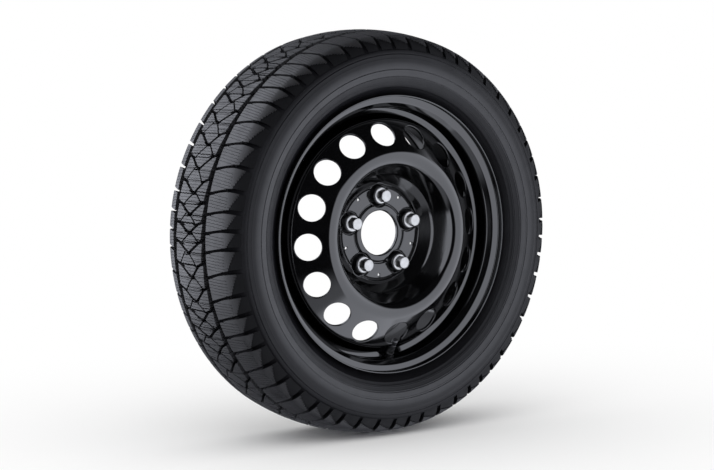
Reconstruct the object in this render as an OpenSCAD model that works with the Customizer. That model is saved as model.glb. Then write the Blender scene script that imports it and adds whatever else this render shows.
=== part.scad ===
// Pressed steel road wheel with a winter tyre, five wheel bolts and a snap-in valve.
// All sizes are in millimetres. The wheel stands upright: its axis lies along Y, the outboard
// side faces -Y, +Z is up and the origin is the centre of the hub mounting face.
// Inside each piece the axis is drawn along Z, outboard positive, and wheel_frame turns it.

/* [Show] */
// Which piece to draw

/* [Wheel] */
// Distance from the hub mounting face inboard to the middle of the rim
wheel_offset = 43; // [40:0.5:46]
// Width between the two flanges' inner faces
rim_width = 139.7; // [137:0.1:142]
// Radius of the bead seat at the heel
bead_seat_r = 190.1; // [189.6:0.1:190.6]
// Height of the flange above the bead seat
flange_height = 17.3; // [16.6:0.1:18]
// Radius of the flange's outer curl
flange_curl_r = 9.5; // [9:0.1:10]
// Angle at which the flange's rolled edge stops, from the radial plane
flange_end_angle = 52; // [45:1:60]
// Thickness of the rim's sheet
rim_sheet = 2.6; // [2.4:0.1:2.8]
// Radius of the bead heel
heel_r = 6.5; // [6:0.1:7]
// Width of the bead seat
bead_seat_width = 18.8; // [18:0.1:19.5]
// Slope of the bead seat in degrees
bead_seat_taper = 5; // [4:0.5:6]
// Height of the round hump inside the bead seat
hump_height = 1.1; // [0.8:0.1:1.3]
// Depth of the drop well below the bead seat
well_depth = 17.3; // [16.7:0.1:18.1]
// Where the well starts, inboard of the rim's middle
well_inner = 4; // [2:0.5:8]

/* [Disc] */
// Thickness of the disc's sheet
disc_sheet = 3.8; // [3.6:0.1:4]
// Radius of the centre bore
bore_r = 33.3; // [32.8:0.1:33.8]
// Outer radius of the raised ring round the bore
bore_ring_r = 41; // [40:0.5:42]
// Height of the raised ring round the bore
bore_ring_h = 1.6; // [1.2:0.1:2]
// Inner radius of the flat pads between the bolts
pad_inner_r = 46; // [45:0.5:46.5]
// Outer radius of the flat pads between the bolts
pad_outer_r = 67; // [66:0.5:67.5]
// Height of the pads above the hub plate
pad_h = 0.9; // [0.7:0.1:1.1]
// Radius of the raised outer ring of the hub plate
hub_ring_r = 76; // [75.5:0.5:77]
// Height of that outer ring
hub_ring_h = 2.4; // [2:0.1:2.8]
// Radius of the crest of the nose
nose_r = 116.3; // [115:0.1:117]
// Height of the nose's crest above the pads
nose_h = 47; // [46:0.5:48]
// Roundness of the nose
nose_round = 16; // [15:0.5:17]
// Steepness of the wall inside the nose
inner_wall_angle = 62; // [60:1:63]
// Slope of the flank that holds the hand holes
flank_angle = 35; // [34:0.5:36]
// Roundness of the bend outside the hand holes
bend_r = 6; // [5:0.5:7]
// Axial length of the skirt inboard of the mounting face
skirt_depth = 20; // [17:0.5:22]
// Number of hand holes
vent_count = 16; // [16:1:16]
// Radius of a hand hole
vent_r = 20; // [19:0.1:20.4]
// Circle of the hand holes' centres, on the outer surface
vent_circle_r = 149; // [148.5:0.1:149.5]
// Angle of one hand hole
vent_phase = 93.15; // [92.5:0.05:94]
// Radius of a small drain hole between the bolts
drain_r = 2.4; // [2:0.1:2.6]
// Circle of the drain holes
drain_circle_r = 62.8; // [62:0.1:63.4]
// Number of weld beads that join the disc to the rim
weld_count = 8; // [6:1:10]
// Length of one weld bead in degrees
weld_arc = 24; // [18:1:28]
// Leg of a weld bead
weld_leg = 3.4; // [3:0.1:3.8]

/* [Wheel bolts] */
// Number of wheel bolts
bolt_count = 5; // [5:1:5]
// Diameter of the bolt circle
bolt_circle = 112; // [111.5:0.1:112.5]
// Angle of the first bolt
bolt_phase = 88.8; // [88:0.1:89.5]
// Diameter of the bolt's shank
bolt_d = 12; // [11.6:0.1:12.4]
// Length of the shank under the seat's lower edge
shank_length = 28; // [26:0.5:30]
// Clearance round the shank in its hole
bolt_clearance = 1.25; // [1.2:0.05:1.4]
// Width across the flats of the bolt's hexagon
hex_af = 17; // [16.8:0.1:17.2]
// Height of the hexagon
hex_h = 13; // [12.5:0.1:13.5]
// Radius of the collar under the hexagon
collar_r = 11.8; // [11.5:0.1:12]
// Thickness of the collar
collar_h = 2; // [1.8:0.1:2.2]
// Height of the seat's rim above the pads
seat_h = 5.4; // [5:0.1:5.8]
// Half angle of the conical seat
seat_half_angle = 30; // [29:0.5:31]
// Radius of the conical seat at its mouth
seat_mouth_r = 10.6; // [10.4:0.1:10.8]
// Radius of the raised boss at its foot
boss_foot_r = 15.4; // [15:0.1:15.8]
// Radius of the raised boss at its top
boss_top_r = 12.6; // [12.4:0.1:12.8]
// Radius of the dished ground round each boss
boss_moat_r = 17.2; // [17:0.1:17.6]

/* [Tyre] */
// Outer radius of the tyre at the middle of the tread
tyre_r = 301.5; // [300:0.5:303]
// Half the width of the tread
tread_half = 69.5; // [69:0.1:70]
// How far the tread's edge lies below its middle
crown_drop = 7.6; // [7:0.1:8]
// Half of the widest section
section_half = 94.6; // [94:0.1:95.2]
// Depth of the main grooves
groove_depth = 8.2; // [7.6:0.1:8.6]
// Depth of the diagonal grooves
diagonal_depth = 6.4; // [6:0.1:7]
// Order of short, middle and long tread pitches in half a turn
pitch_order = "SSMLLLLMSSLLMSSLLLLSSLLMSSLLM"; // [SSMLLLLMSSLLMSSLLLLSSLLMSSLLM]
// Length of a middle pitch, in short ones
middle_pitch = 1.1; // [1.08:0.01:1.14]
// Length of a long pitch, in short ones
long_pitch = 1.33; // [1.3:0.01:1.36]
// Angle of the first cross groove
pitch_phase = 120.5; // [119.5:0.1:121.5]
// Width of the cross grooves on the outboard shoulder
cross_width = 5; // [4.6:0.1:5.4]
// Width of the thick diagonal grooves
diagonal_width = 3.6; // [3.2:0.1:3.8]
// Width of the thin diagonal grooves
thin_width = 2; // [1.8:0.1:2.2]

/* [Valve] */
// Angle of the valve round the wheel
valve_angle = -84.5; // [-86:0.1:-83]
// Lean of the valve towards outboard, from the radial direction
valve_tilt = 42; // [41:0.5:43]
// How far up the slope from the well to the bead seat the valve hole lies
valve_place = 0.68; // [0.66:0.01:0.69]
// Radius of the valve hole in the rim
valve_hole_r = 5.65; // [5.6:0.05:5.7]
// Radius of the clear notch in the disc's edge in front of the valve
valve_notch_r = 8.6; // [8.4:0.1:9]
// Radius of the rubber button inside the tyre
button_r = 7.6; // [7.4:0.1:7.8]
// Length of the rubber above the rim
rubber_length = 17; // [16.5:0.1:17.5]
// Radius of the stem's thread
stem_r = 3.85; // [3.8:0.01:3.9]
// Length of bare thread above the rubber
stem_length = 8; // [7.8:0.1:8.4]
// Radius of the bore the valve core screws into
core_bore_r = 2.6; // [2.55:0.01:2.65]
// Outer radius of the valve cap
cap_r = 4.7; // [4.6:0.05:4.8]
// Running clearance of the cap's thread
cap_clearance = 0.06; // [0.05:0.01:0.08]
// Running clearance of the core's pin
pin_clearance = 0.06; // [0.05:0.01:0.08]

/* [Hidden] */
$fn = 64;
black_paint = [0.03, 0.03, 0.035];
rubber = [0.06, 0.06, 0.065];
zinc = [0.75, 0.76, 0.77];
brass = [0.72, 0.58, 0.3];
steel = [0.6, 0.6, 0.62];
seal = [0.1, 0.1, 0.1];
ptfe = [0.85, 0.2, 0.15];

// Points on an arc in the radius and height plane, from angle a0 to a1 in n steps
function arc(cr, ch, r, a0, a1, n) = [
  for (i = [0 : n])
    [cr + r * cos(a0 + (a1 - a0) * i / n), ch + r * sin(a0 + (a1 - a0) * i / n)]
];
// Unit vector square to the line from p to q, on its left
function side(p, q) = [p[1] - q[1], q[0] - p[0]] / norm(q - p);
// A line moved sideways by t at every point, with mitred corners
function shifted(p, t) = [
  for (i = [0 : len(p) - 1])
    let (a = i > 0 ? side(p[i - 1], p[i]) : side(p[0], p[1]))
    let (b = i < len(p) - 1 ? side(p[i], p[i + 1]) : a)
    p[i] + t * (a + b) / (1 + a * b)
];
function turned_back(p) = [for (i = [len(p) - 1 : -1 : 0]) p[i]];
// The same line on the other side of the wheel's middle
function mirrored(p) = [for (i = [len(p) - 1 : -1 : 0]) [p[i][0], 2 * mid - p[i][1]]];

// Rim levels
mid = -wheel_offset;
half = rim_width / 2;
curl_c_r = bead_seat_r + flange_height - flange_curl_r;
curl_c_h = mid + half + flange_curl_r;
seat_end_h = half - bead_seat_width;
seat_end_r = bead_seat_r - (bead_seat_width - heel_r) * tan(bead_seat_taper);
hump_end_h = seat_end_h - 4;
toe_h = seat_end_h + 4.5;
toe_r = bead_seat_r - (half - heel_r - toe_h) * tan(bead_seat_taper);
well_r = bead_seat_r - well_depth;
slope_run = (seat_end_r - well_r) / tan(valve_tilt);
well_outer = hump_end_h - slope_run;

// Tyre side of the flange's rolled edge, the part the tyre doesn't touch
flange_free = arc(curl_c_r, curl_c_h, flange_curl_r, flange_end_angle, -35, 9);
// Tyre side of the flange and heel that the bead lies on, from the curl down to the toe
flange_touch = concat(
  arc(curl_c_r, curl_c_h, flange_curl_r, -35, -90, 6),
  arc(bead_seat_r + heel_r, mid + half - heel_r, heel_r, 90, 180, 7),
  [[toe_r, mid + toe_h]]
);
hump = [
  [seat_end_r, mid + seat_end_h],
  [seat_end_r + hump_height, mid + seat_end_h - 1.6],
  [seat_end_r + hump_height, mid + seat_end_h - 2.6],
  [seat_end_r, mid + hump_end_h]
];
outer_half = concat(flange_free, [for (i = [1 : len(flange_touch) - 1]) flange_touch[i]], hump);
inner_half = mirrored(outer_half);
rim_line = concat(
  outer_half,
  [[well_r, mid + well_outer], [well_r, mid + well_inner]],
  inner_half
);
rim_air_line = shifted(rim_line, -rim_sheet);

// Disc levels. The flank and the inner wall touch the nose's round on either side.
pad_top = disc_sheet;
plate_top = disc_sheet - pad_h;
nose_c_h = pad_top + nose_h - nose_round;
skirt_r = well_r - rim_sheet;
flank_r0 = nose_r + nose_round * sin(flank_angle);
flank_h0 = nose_c_h + nose_round * cos(flank_angle);
bend_c_r = skirt_r - bend_r;
bend_c_h = flank_h0 - (bend_c_r + bend_r * sin(flank_angle) - flank_r0) * tan(flank_angle)
  - bend_r * cos(flank_angle);
wall_r0 = nose_r - nose_round * sin(inner_wall_angle);
wall_h0 = nose_c_h + nose_round * cos(inner_wall_angle);
foot_round = 9;
foot_h = pad_top + hub_ring_h;
wall_foot_r = wall_r0 - (wall_h0 - foot_h) / tan(inner_wall_angle);
foot_t = foot_round * tan(inner_wall_angle / 2);
// Outer surface of the disc from the hub ring to the end of the skirt
disc_line = concat(
  [[hub_ring_r, foot_h]],
  arc(wall_foot_r - foot_t, foot_h + foot_round, foot_round, -90, inner_wall_angle - 90, 5),
  arc(nose_r, nose_c_h, nose_round, 90 + inner_wall_angle, 90 - flank_angle, 12),
  arc(bend_c_r, bend_c_h, bend_r, 90 - flank_angle, 0, 5),
  [[skirt_r, -skirt_depth]]
);
disc_back = shifted(disc_line, -disc_sheet);
// Whole section: bore, raised ring, pads, hub ring, outer surface, back and mounting face
disc_section = concat(
  [
    [bore_r, 0],
    [bore_r, pad_top + bore_ring_h - 1.4],
    [bore_r + 2, pad_top + bore_ring_h],
    [bore_ring_r, pad_top + bore_ring_h],
    [bore_ring_r + 2.4, plate_top],
    [pad_inner_r - 0.8, plate_top],
    [pad_inner_r, pad_top],
    [pad_outer_r, pad_top],
    [pad_outer_r + 0.8, plate_top],
    [hub_ring_r - 6.4, plate_top],
    [hub_ring_r - 4.2, foot_h]
  ],
  disc_line,
  [for (i = [len(disc_line) - 1 : -1 : 1]) disc_back[i]],
  [[hub_ring_r - 1.5, 0]]
);
vent_h = flank_h0 - (vent_circle_r - flank_r0) * tan(flank_angle);

// Bolt levels
bolt_hole_r = bolt_d / 2 + bolt_clearance;
seat_top = pad_top + seat_h;
seat_low = seat_top - (seat_mouth_r - bolt_hole_r) / tan(seat_half_angle);
bolt_angle = 360 / bolt_count;

// Valve levels, measured along the valve's axis from the rim's air side
valve_foot_r = well_r + (seat_end_r - well_r) * valve_place - rim_sheet * cos(valve_tilt);
valve_foot_h = mid + well_outer + slope_run * valve_place + rim_sheet * sin(valve_tilt);
stem_top = rubber_length + stem_length;
cone_seat_w = stem_top - 7.6;
pin_r = 0.5;
cup_w = stem_top - 14.4;

module wheel_frame() {
  rotate([90, 0, 0])
    children();
}

module valve_frame() {
  wheel_frame()
    rotate([0, 0, valve_angle])
      translate([valve_foot_r, 0, valve_foot_h])
        rotate([0, valve_tilt - 90, 0])
          children();
}

// A ring with a square section
module ring(r0, r1, h0, h1) {
  rotate_extrude()
    polygon([[r0, h0], [r1, h0], [r1, h1], [r0, h1]]);
}

// Rim: one rolled and welded band with the valve hole
module rim() {
  color(black_paint)
    difference() {
      wheel_frame()
        rotate_extrude()
          polygon(concat(rim_line, turned_back(rim_air_line)));
      valve_frame()
        translate([0, 0, -12])
          cylinder(r = valve_hole_r, h = 24);
    }
}

// Raised boss with the conical seat of one bolt
module boss(i) {
  rotate([0, 0, bolt_phase + bolt_angle * i])
    translate([bolt_circle / 2, 0, 0])
      rotate_extrude()
        polygon([
          [bolt_hole_r, 0.6],
          [boss_foot_r, 0.6],
          [boss_foot_r, plate_top],
          [boss_top_r + 0.6, seat_top - 1],
          [boss_top_r - 0.2, seat_top],
          [seat_mouth_r, seat_top],
          [bolt_hole_r, seat_low]
        ]);
}

// Disc: one pressing, from the bore to the skirt
module disc() {
  color(black_paint)
    wheel_frame()
      difference() {
        union() {
          difference() {
            rotate_extrude()
              polygon(disc_section);
            for (i = [0 : bolt_count - 1])
              rotate([0, 0, bolt_phase + bolt_angle * i])
                translate([bolt_circle / 2, 0, plate_top - 0.2])
                  cylinder(r = boss_moat_r, h = 12);
            for (i = [0 : bolt_count - 1])
              rotate([0, 0, bolt_phase + bolt_angle * i])
                translate([bolt_circle / 2, 0, -1])
                  cylinder(r = bolt_hole_r + 0.5, h = 14);
          }
          for (i = [0 : bolt_count - 1])
            boss(i);
        }
        for (i = [0 : bolt_count - 1])
          rotate([0, 0, bolt_phase + bolt_angle * i])
            translate([bolt_circle / 2, 0, 0])
              ring(bolt_hole_r + 4.4, boss_foot_r - 1.4, -1, 0.8);
        for (i = [0 : bolt_count - 1])
          rotate([0, 0, bolt_phase + bolt_angle * (i + 0.5)])
            translate([drain_circle_r, 0, -1])
              cylinder(r = drain_r, h = 12);
        for (i = [0 : vent_count - 1])
          rotate([0, 0, vent_phase + 360 / vent_count * i])
            translate([vent_circle_r, 0, vent_h])
              rotate([0, flank_angle, 0])
                translate([0, 0, -14])
                  cylinder(r = vent_r, h = 24);
        rotate([0, 0, valve_angle])
          translate([valve_foot_r, 0, valve_foot_h])
            rotate([0, valve_tilt - 90, 0])
              translate([0, 0, 6])
                cylinder(r = valve_notch_r, h = 30);
      }
}

// Weld beads at the skirt's inboard edge
module disc_welds() {
  color(black_paint)
    wheel_frame()
      for (i = [0 : weld_count - 1])
        rotate([0, 0, 360 / weld_count * i + 10])
          rotate_extrude(angle = weld_arc)
            polygon([
              [skirt_r, -skirt_depth],
              [skirt_r - weld_leg, -skirt_depth],
              [skirt_r - weld_leg * 0.62, -skirt_depth - weld_leg * 0.62],
              [skirt_r, -skirt_depth - weld_leg]
            ]);
}

// One wheel bolt: shank, conical seat, collar and hexagon with a rounded end
module wheel_bolt(i) {
  hex_r = hex_af / 2 / cos(30);
  collar_top = seat_top + collar_h;
  hex_top = collar_top + hex_h;
  color(zinc)
    wheel_frame()
      rotate([0, 0, bolt_phase - bolt_angle * i])
        translate([bolt_circle / 2, 0, 0])
          union() {
            rotate_extrude()
              polygon([
                [0, seat_low - shank_length],
                [bolt_d / 2 - 1, seat_low - shank_length],
                [bolt_d / 2, seat_low - shank_length + 1],
                [bolt_d / 2, seat_low],
                [bolt_hole_r, seat_low],
                [seat_mouth_r, seat_top],
                [collar_r, seat_top + 0.3],
                [collar_r, collar_top - 0.5],
                [collar_r - 0.9, collar_top],
                [0, collar_top]
              ]);
            intersection() {
              translate([0, 0, collar_top - 0.4])
                linear_extrude(height = hex_h + 0.4)
                  circle(r = hex_r, $fn = 6);
              rotate_extrude()
                polygon([
                  [0, collar_top - 1],
                  [hex_r + 1, collar_top - 1],
                  [hex_r + 1, hex_top - 3],
                  [hex_r - 0.2, hex_top - 2.4],
                  [hex_af / 2 - 0.3, hex_top - 0.8],
                  [hex_af / 2 - 1.4, hex_top - 0.15],
                  [hex_af / 2 - 2.6, hex_top],
                  [0, hex_top]
                ]);
            }
          }
}

// Tyre levels, all as radius and height. The walls were drawn for a section 84.6 high from the
// flange's crest to the tread's edge, a shoulder 25.1 wide and a liner 97.2 above the toe. They
// stretch with the sizes that they lie between.
flange_gap = 1.9;
liner_depth = groove_depth + 6.6824;
shoulder_r = tyre_r - crown_drop;
wall_stretch = (shoulder_r - bead_seat_r - flange_height - flange_gap) / 84.6;
shoulder_stretch = (section_half - tread_half) / 25.1;
liner_stretch = (tyre_r - liner_depth - toe_r) / 97.2;
tread_stretch = tread_half / 69.5;
function crown(s) = tyre_r - crown_drop * pow(s / tread_half, 2);
function wall(down, out) = [shoulder_r - down * wall_stretch, mid + tread_half + out * shoulder_stretch];
function liner(up, from_side) = [toe_r + up * liner_stretch, mid + section_half - from_side];
shoulder_half = [
  wall(0, 0), wall(3.3, 6.2), wall(7.8, 11.2), wall(13.2, 15.2), wall(18.8, 18.4),
  wall(21.2, 19.4), wall(21.4, 20.4), wall(23.4, 21.2), wall(29.5, 22.8), wall(37, 24.5),
  wall(45, 25.1), wall(53, 24.3), wall(63, 21.5), wall(71.5, 17.1), wall(78, 12.1),
  wall(81.8, 7.9), wall(84.6, 5.9)
];
crown_points = [
  for (s = [-0.84, -0.52, -0.18, 0.18, 0.52, 0.84])
    [crown(s * tread_half), mid + s * tread_half]
];
inner_wall = [
  [toe_r + 0.2, mid + toe_h],
  [toe_r + 4.5, mid + toe_h + 1.2],
  [toe_r + 12, mid + toe_h + 6.5],
  liner(22, 17), liner(33, 10), liner(46, 6.6), liner(60, 6.4), liner(72, 9.6), liner(84, 17),
  liner(92.5, 28), liner(97.2, 46)
];
tyre_half = concat(turned_back(flange_touch), turned_back(shoulder_half));
tyre_ring = concat(
  tyre_half,
  turned_back(crown_points),
  mirrored(tyre_half),
  turned_back(mirrored(inner_wall)),
  turned_back(inner_wall)
);

// Length of pitch n, and the list of their sums from two pitches before the first
function pitch_length(n) = let (c = pitch_order[(n + 2 * half_pitches) % half_pitches])
  c == "L" ? long_pitch : c == "M" ? middle_pitch : 1;
half_pitches = len(pitch_order);
pitch_count = 2 * half_pitches;
pitch_sums = [for (i = 0, t = 0; i <= pitch_count + 4; t = t + pitch_length(i - 2), i = i + 1) t];
pitch_unit = 180 / (pitch_sums[half_pitches] - pitch_sums[0]);
function pitch_sum(v) = let (i = floor(v + 2))
  pitch_sums[i] + (v + 2 - i) * (pitch_sums[i + 1] - pitch_sums[i]);
// Angle of a place in the tread pattern, counted in pitches. Cross groove k lies at k + 0.51.
function tread_angle(u) = pitch_phase + pitch_unit * (pitch_sum(u - 0.51) - pitch_sum(0));

// Straight groove from place u0, s0 to u1, s1: u in pitches, s across the tread from its middle,
// as it was drawn for a tread 139 wide
module groove(u0, s0, u1, s1, width, depth) {
  a0 = tread_angle(u0);
  a1 = tread_angle(u1);
  across = (s1 - s0) * tread_stretch;
  middle = (s0 + s1) / 2 * tread_stretch;
  top = crown(middle);
  run = (a1 - a0) * PI / 180 * (top - depth / 2);
  long = norm([run, across]);
  rotate([0, 0, (a0 + a1) / 2])
    translate([top - depth, 0, mid + middle])
      rotate([atan2(across, run), 0, 0])
        translate([0, -long / 2, -width / 2])
          cube([depth + 6, long, width]);
}

// Floor of a cross groove from s0 over the outboard shoulder, where it runs out at the foot
function shoulder_floor(s0) = [
  [crown(s0) - groove_depth + 0.3, s0],
  [shoulder_r - 6.6 * wall_stretch, tread_half - 4],
  [shoulder_r - 11 * wall_stretch, tread_half + 6.4 * shoulder_stretch],
  [shoulder_r - 17 * wall_stretch, tread_half + 13.4 * shoulder_stretch],
  [shoulder_r - 22 * wall_stretch, tread_half + 17.9 * shoulder_stretch],
  [shoulder_r - 22 * wall_stretch, section_half + 4.9],
  [tyre_r + 5, section_half + 4.9],
  [tyre_r + 5, s0]
];

// Cross groove over the outboard shoulder
module shoulder_groove(u, s0, lean, width) {
  rotate([0, 0, tread_angle(u)])
    translate([0, 0, mid])
      rotate([lean, 0, 0])
        rotate([90, 0, 0])
          translate([0, 0, -width / 2])
            linear_extrude(height = width)
              polygon(shoulder_floor(s0));
}

module tread_cuts() {
  // Two grooves round the tyre
  t = tread_stretch;
  ring(crown(29 * t) - groove_depth, tyre_r + 5, mid + 25.6 * t, mid + 33 * t);
  ring(crown(52 * t) - groove_depth, tyre_r + 5, mid - 57 * t, mid - 47.4 * t);
  for (k = [0 : 2 : pitch_count - 1]) {
    // Two steep diagonals, thick at the inboard end and thin after the crossing
    groove(k + 0.02, -48.5, k + 0.42, -19, diagonal_width, diagonal_depth);
    groove(k + 0.4, -20.2, k + 1.12, 8.6, thin_width, diagonal_depth);
    groove(k + 1.02, -48.5, k + 1.56, -6.4, diagonal_width, diagonal_depth);
    groove(k + 1.5, -2.4, k + 2.02, 19, thin_width, diagonal_depth);
    // Counter diagonals
    groove(k + 0.9, 27.5, k + 1.5, -3, diagonal_width, diagonal_depth);
    groove(k + 1.48, -2.2, k + 2.12, -29, thin_width, diagonal_depth);
    groove(k - 0.04, 27.5, k + 0.56, -7.5, diagonal_width, diagonal_depth);
    groove(k + 0.57, -21, k + 1.06, -35.6, thin_width, diagonal_depth);
  }
  for (k = [0 : pitch_count - 1]) {
    groove(k + 0.54, 31, k + 0.3, 64, cross_width, groove_depth - 0.4);
    shoulder_groove(k + 0.28, 60 * t, 0, cross_width);
    inboard_groove(k + 0.44);
  }
}

// Cross groove of the inboard shoulder
module inboard_groove(u) {
  rotate([0, 0, tread_angle(u)])
    translate([0, 0, mid])
      rotate([-14, 0, 0])
        rotate([90, 0, 0])
          translate([0, 0, -cross_width / 2])
            linear_extrude(height = cross_width)
              polygon([for (p = shoulder_floor(52 * tread_stretch)) [p[0], -p[1]]]);
}

module tyre() {
  color(rubber)
    wheel_frame()
      difference() {
        rotate_extrude()
          polygon(tyre_ring);
        tread_cuts();
      }
}

// Rubber body of the snap-in valve, with its button inside the tyre
module valve_body() {
  color(rubber)
    valve_frame()
      difference() {
        rotate_extrude()
          polygon([
            [0, -rim_sheet - 5.4],
            [5.6, -rim_sheet - 5.4],
            [button_r - 0.4, -rim_sheet - 4.2],
            [button_r, -rim_sheet - 2.4],
            [button_r, -rim_sheet + 0.05],
            [valve_hole_r, -rim_sheet + 0.05],
            [valve_hole_r, -0.05],
            [6.8, -0.05],
            [6.8, 1.6],
            [5.9, 6],
            [5.2, 12],
            [4.9, rubber_length - 0.6],
            [4.4, rubber_length],
            [0, rubber_length]
          ]);
        valve_stem_outline();
      }
}

module valve_stem_outline() {
  rotate_extrude()
    polygon([
      [0, -rim_sheet - 6],
      [3.1, -rim_sheet - 6],
      [3.1, -rim_sheet - 4],
      [4, -rim_sheet - 3],
      [4, -rim_sheet - 1],
      [3.1, 1],
      [3.1, 9],
      [stem_r, 11],
      [stem_r, stem_top - 0.5],
      [stem_r - 0.5, stem_top],
      [0, stem_top]
    ]);
}

// Brass stem, with the thread for the cap and the bore for the core
module valve_stem() {
  color(brass)
    valve_frame()
      difference() {
        valve_stem_outline();
        rotate_extrude()
          polygon([
            [0, -rim_sheet - 7],
            [1.5, -rim_sheet - 7],
            [1.5, cup_w - 2.6],
            [1.95, cup_w - 2.6],
            [1.95, cone_seat_w],
            [core_bore_r, cone_seat_w + 1.2],
            [core_bore_r, stem_top + 1],
            [0, stem_top + 1]
          ]);
      }
}

// Core: the threaded plug that holds it down
module core_plug() {
  color(brass)
    valve_frame()
      difference() {
        rotate_extrude()
          polygon([
            [pin_r + pin_clearance, stem_top - 4.2],
            [core_bore_r, stem_top - 4.2],
            [core_bore_r, stem_top - 1.6],
            [1.6, stem_top - 1.6],
            [1.6, stem_top - 0.7],
            [pin_r + pin_clearance, stem_top - 0.7]
          ]);
        translate([-4, -0.35, stem_top - 1.5])
          cube([3.2, 0.7, 1.4]);
        translate([0.8, -0.35, stem_top - 1.5])
          cube([3.2, 0.7, 1.4]);
      }
}

// Core: the barrel that holds the spring
module core_barrel() {
  color(brass)
    valve_frame()
      rotate_extrude()
        polygon([
          [pin_r + pin_clearance, cup_w + 0.8],
          [1.7, cup_w + 0.8],
          [1.7, stem_top - 4.2],
          [1.2, stem_top - 4.2],
          [1.2, cup_w + 2],
          [pin_r + pin_clearance, cup_w + 2]
        ]);
}

// Core: the sealing ring that sits on the stem's cone
module core_gasket() {
  color(ptfe)
    valve_frame()
      rotate_extrude()
        polygon([
          [1.7, cone_seat_w],
          [1.95, cone_seat_w],
          [core_bore_r, cone_seat_w + 1.2],
          [core_bore_r, cone_seat_w + 2.2],
          [1.7, cone_seat_w + 2.8]
        ]);
}

// Core: the pin, with the collar the spring pushes on
module core_pin() {
  color(brass)
    valve_frame()
      rotate_extrude()
        polygon([
          [0, cup_w - 1.6],
          [pin_r, cup_w - 1.6],
          [pin_r, stem_top - 5.6],
          [1.05, stem_top - 5.6],
          [1.05, stem_top - 5.0],
          [pin_r, stem_top - 5.0],
          [pin_r, stem_top - 0.3],
          [0, stem_top - 0.1]
        ]);
}

// Core: the rubber cup that closes the barrel's foot
module core_cup() {
  color(seal)
    valve_frame()
      rotate_extrude()
        polygon([
          [pin_r, cup_w - 1.2],
          [1.3, cup_w - 1.2],
          [1.6, cup_w],
          [1.6, cup_w + 0.8],
          [pin_r, cup_w + 0.8]
        ]);
}

// Core: the spring, drawn as half turns that lean up and down by turns
module core_spring() {
  coils = 5;
  wire = 0.17;
  coil_r = 0.86;
  low = cup_w + 2 + wire;
  high = stem_top - 5.6 - wire;
  step = (high - low) / coils;
  lean = atan(step / 4 / coil_r);
  color(steel)
    valve_frame()
      for (i = [0 : 2 * coils - 1])
        translate([0, 0, low + step * (i + 0.5) / 2])
          rotate([0, 0, 180 * i])
            rotate([0, -lean, 0])
              rotate([0, 0, 180])
                rotate_extrude(angle = 180)
                  translate([coil_r / cos(lean) * 0.5 + coil_r * 0.5, 0])
                    circle(r = wire, $fn = 24);
}

// Cap with a knurled skirt and a hollow for its seal
module valve_cap() {
  bore = stem_r + cap_clearance;
  color(seal)
    valve_frame()
      difference() {
        rotate_extrude()
          polygon([
            [0, stem_top + 1],
            [bore, stem_top + 1],
            [bore, rubber_length + 0.3],
            [cap_r - 0.3, rubber_length + 0.3],
            [cap_r, rubber_length + 0.8],
            [cap_r, stem_top + 0.6],
            [cap_r - 0.6, stem_top + 2],
            [cap_r - 1.8, stem_top + 2.7],
            [0, stem_top + 2.9]
          ]);
        for (i = [0 : 17])
          rotate([0, 0, 20 * i])
            translate([cap_r + 0.28, 0, rubber_length + 1.6])
              cylinder(r = 0.5, h = 6);
      }
}

module cap_seal() {
  color(seal)
    valve_frame()
      ring(1.4, stem_r, stem_top, stem_top + 1);
}

tyre();
rim();
disc();
disc_welds();
wheel_bolt(0);  // wheel_bolt_1
wheel_bolt(1);  // wheel_bolt_2
wheel_bolt(2);  // wheel_bolt_3
wheel_bolt(3);  // wheel_bolt_4
wheel_bolt(4);  // wheel_bolt_5
valve_body();
valve_stem();
core_plug();
core_barrel();
core_gasket();
core_pin();
core_cup();
core_spring();
valve_cap();
cap_seal();
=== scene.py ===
"""Looks of a pressed steel road wheel with its winter tyre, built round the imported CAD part.

Shapes are drawn in the wheel's own terms: radius, angle and height above the hub mounting face
(outboard positive), in millimetres and degrees. wheel_points turns them into the shared frame,
in metres, where the wheel's axis lies along Y and the outboard side faces -Y.
"""

import math

import bmesh
import bpy
import numpy as np
from mathutils import Matrix, Vector


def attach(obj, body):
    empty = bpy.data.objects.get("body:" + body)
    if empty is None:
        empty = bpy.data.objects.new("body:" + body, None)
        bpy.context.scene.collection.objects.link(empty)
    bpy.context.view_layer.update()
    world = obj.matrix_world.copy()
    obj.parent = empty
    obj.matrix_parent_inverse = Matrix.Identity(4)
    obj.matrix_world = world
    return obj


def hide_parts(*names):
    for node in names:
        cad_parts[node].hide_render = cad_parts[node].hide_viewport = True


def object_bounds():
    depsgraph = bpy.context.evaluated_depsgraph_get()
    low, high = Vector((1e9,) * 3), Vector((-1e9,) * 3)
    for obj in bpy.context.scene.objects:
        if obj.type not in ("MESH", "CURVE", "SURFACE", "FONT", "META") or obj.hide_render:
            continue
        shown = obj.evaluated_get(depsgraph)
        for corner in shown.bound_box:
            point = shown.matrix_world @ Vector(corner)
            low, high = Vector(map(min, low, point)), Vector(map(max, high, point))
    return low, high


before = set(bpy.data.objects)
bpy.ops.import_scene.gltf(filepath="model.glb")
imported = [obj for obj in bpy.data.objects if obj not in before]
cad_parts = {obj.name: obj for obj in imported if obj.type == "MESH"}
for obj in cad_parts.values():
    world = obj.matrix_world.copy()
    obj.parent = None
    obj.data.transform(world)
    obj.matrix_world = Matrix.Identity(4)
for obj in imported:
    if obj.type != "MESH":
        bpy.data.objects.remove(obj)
cad_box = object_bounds()
MM = 0.001

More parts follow.
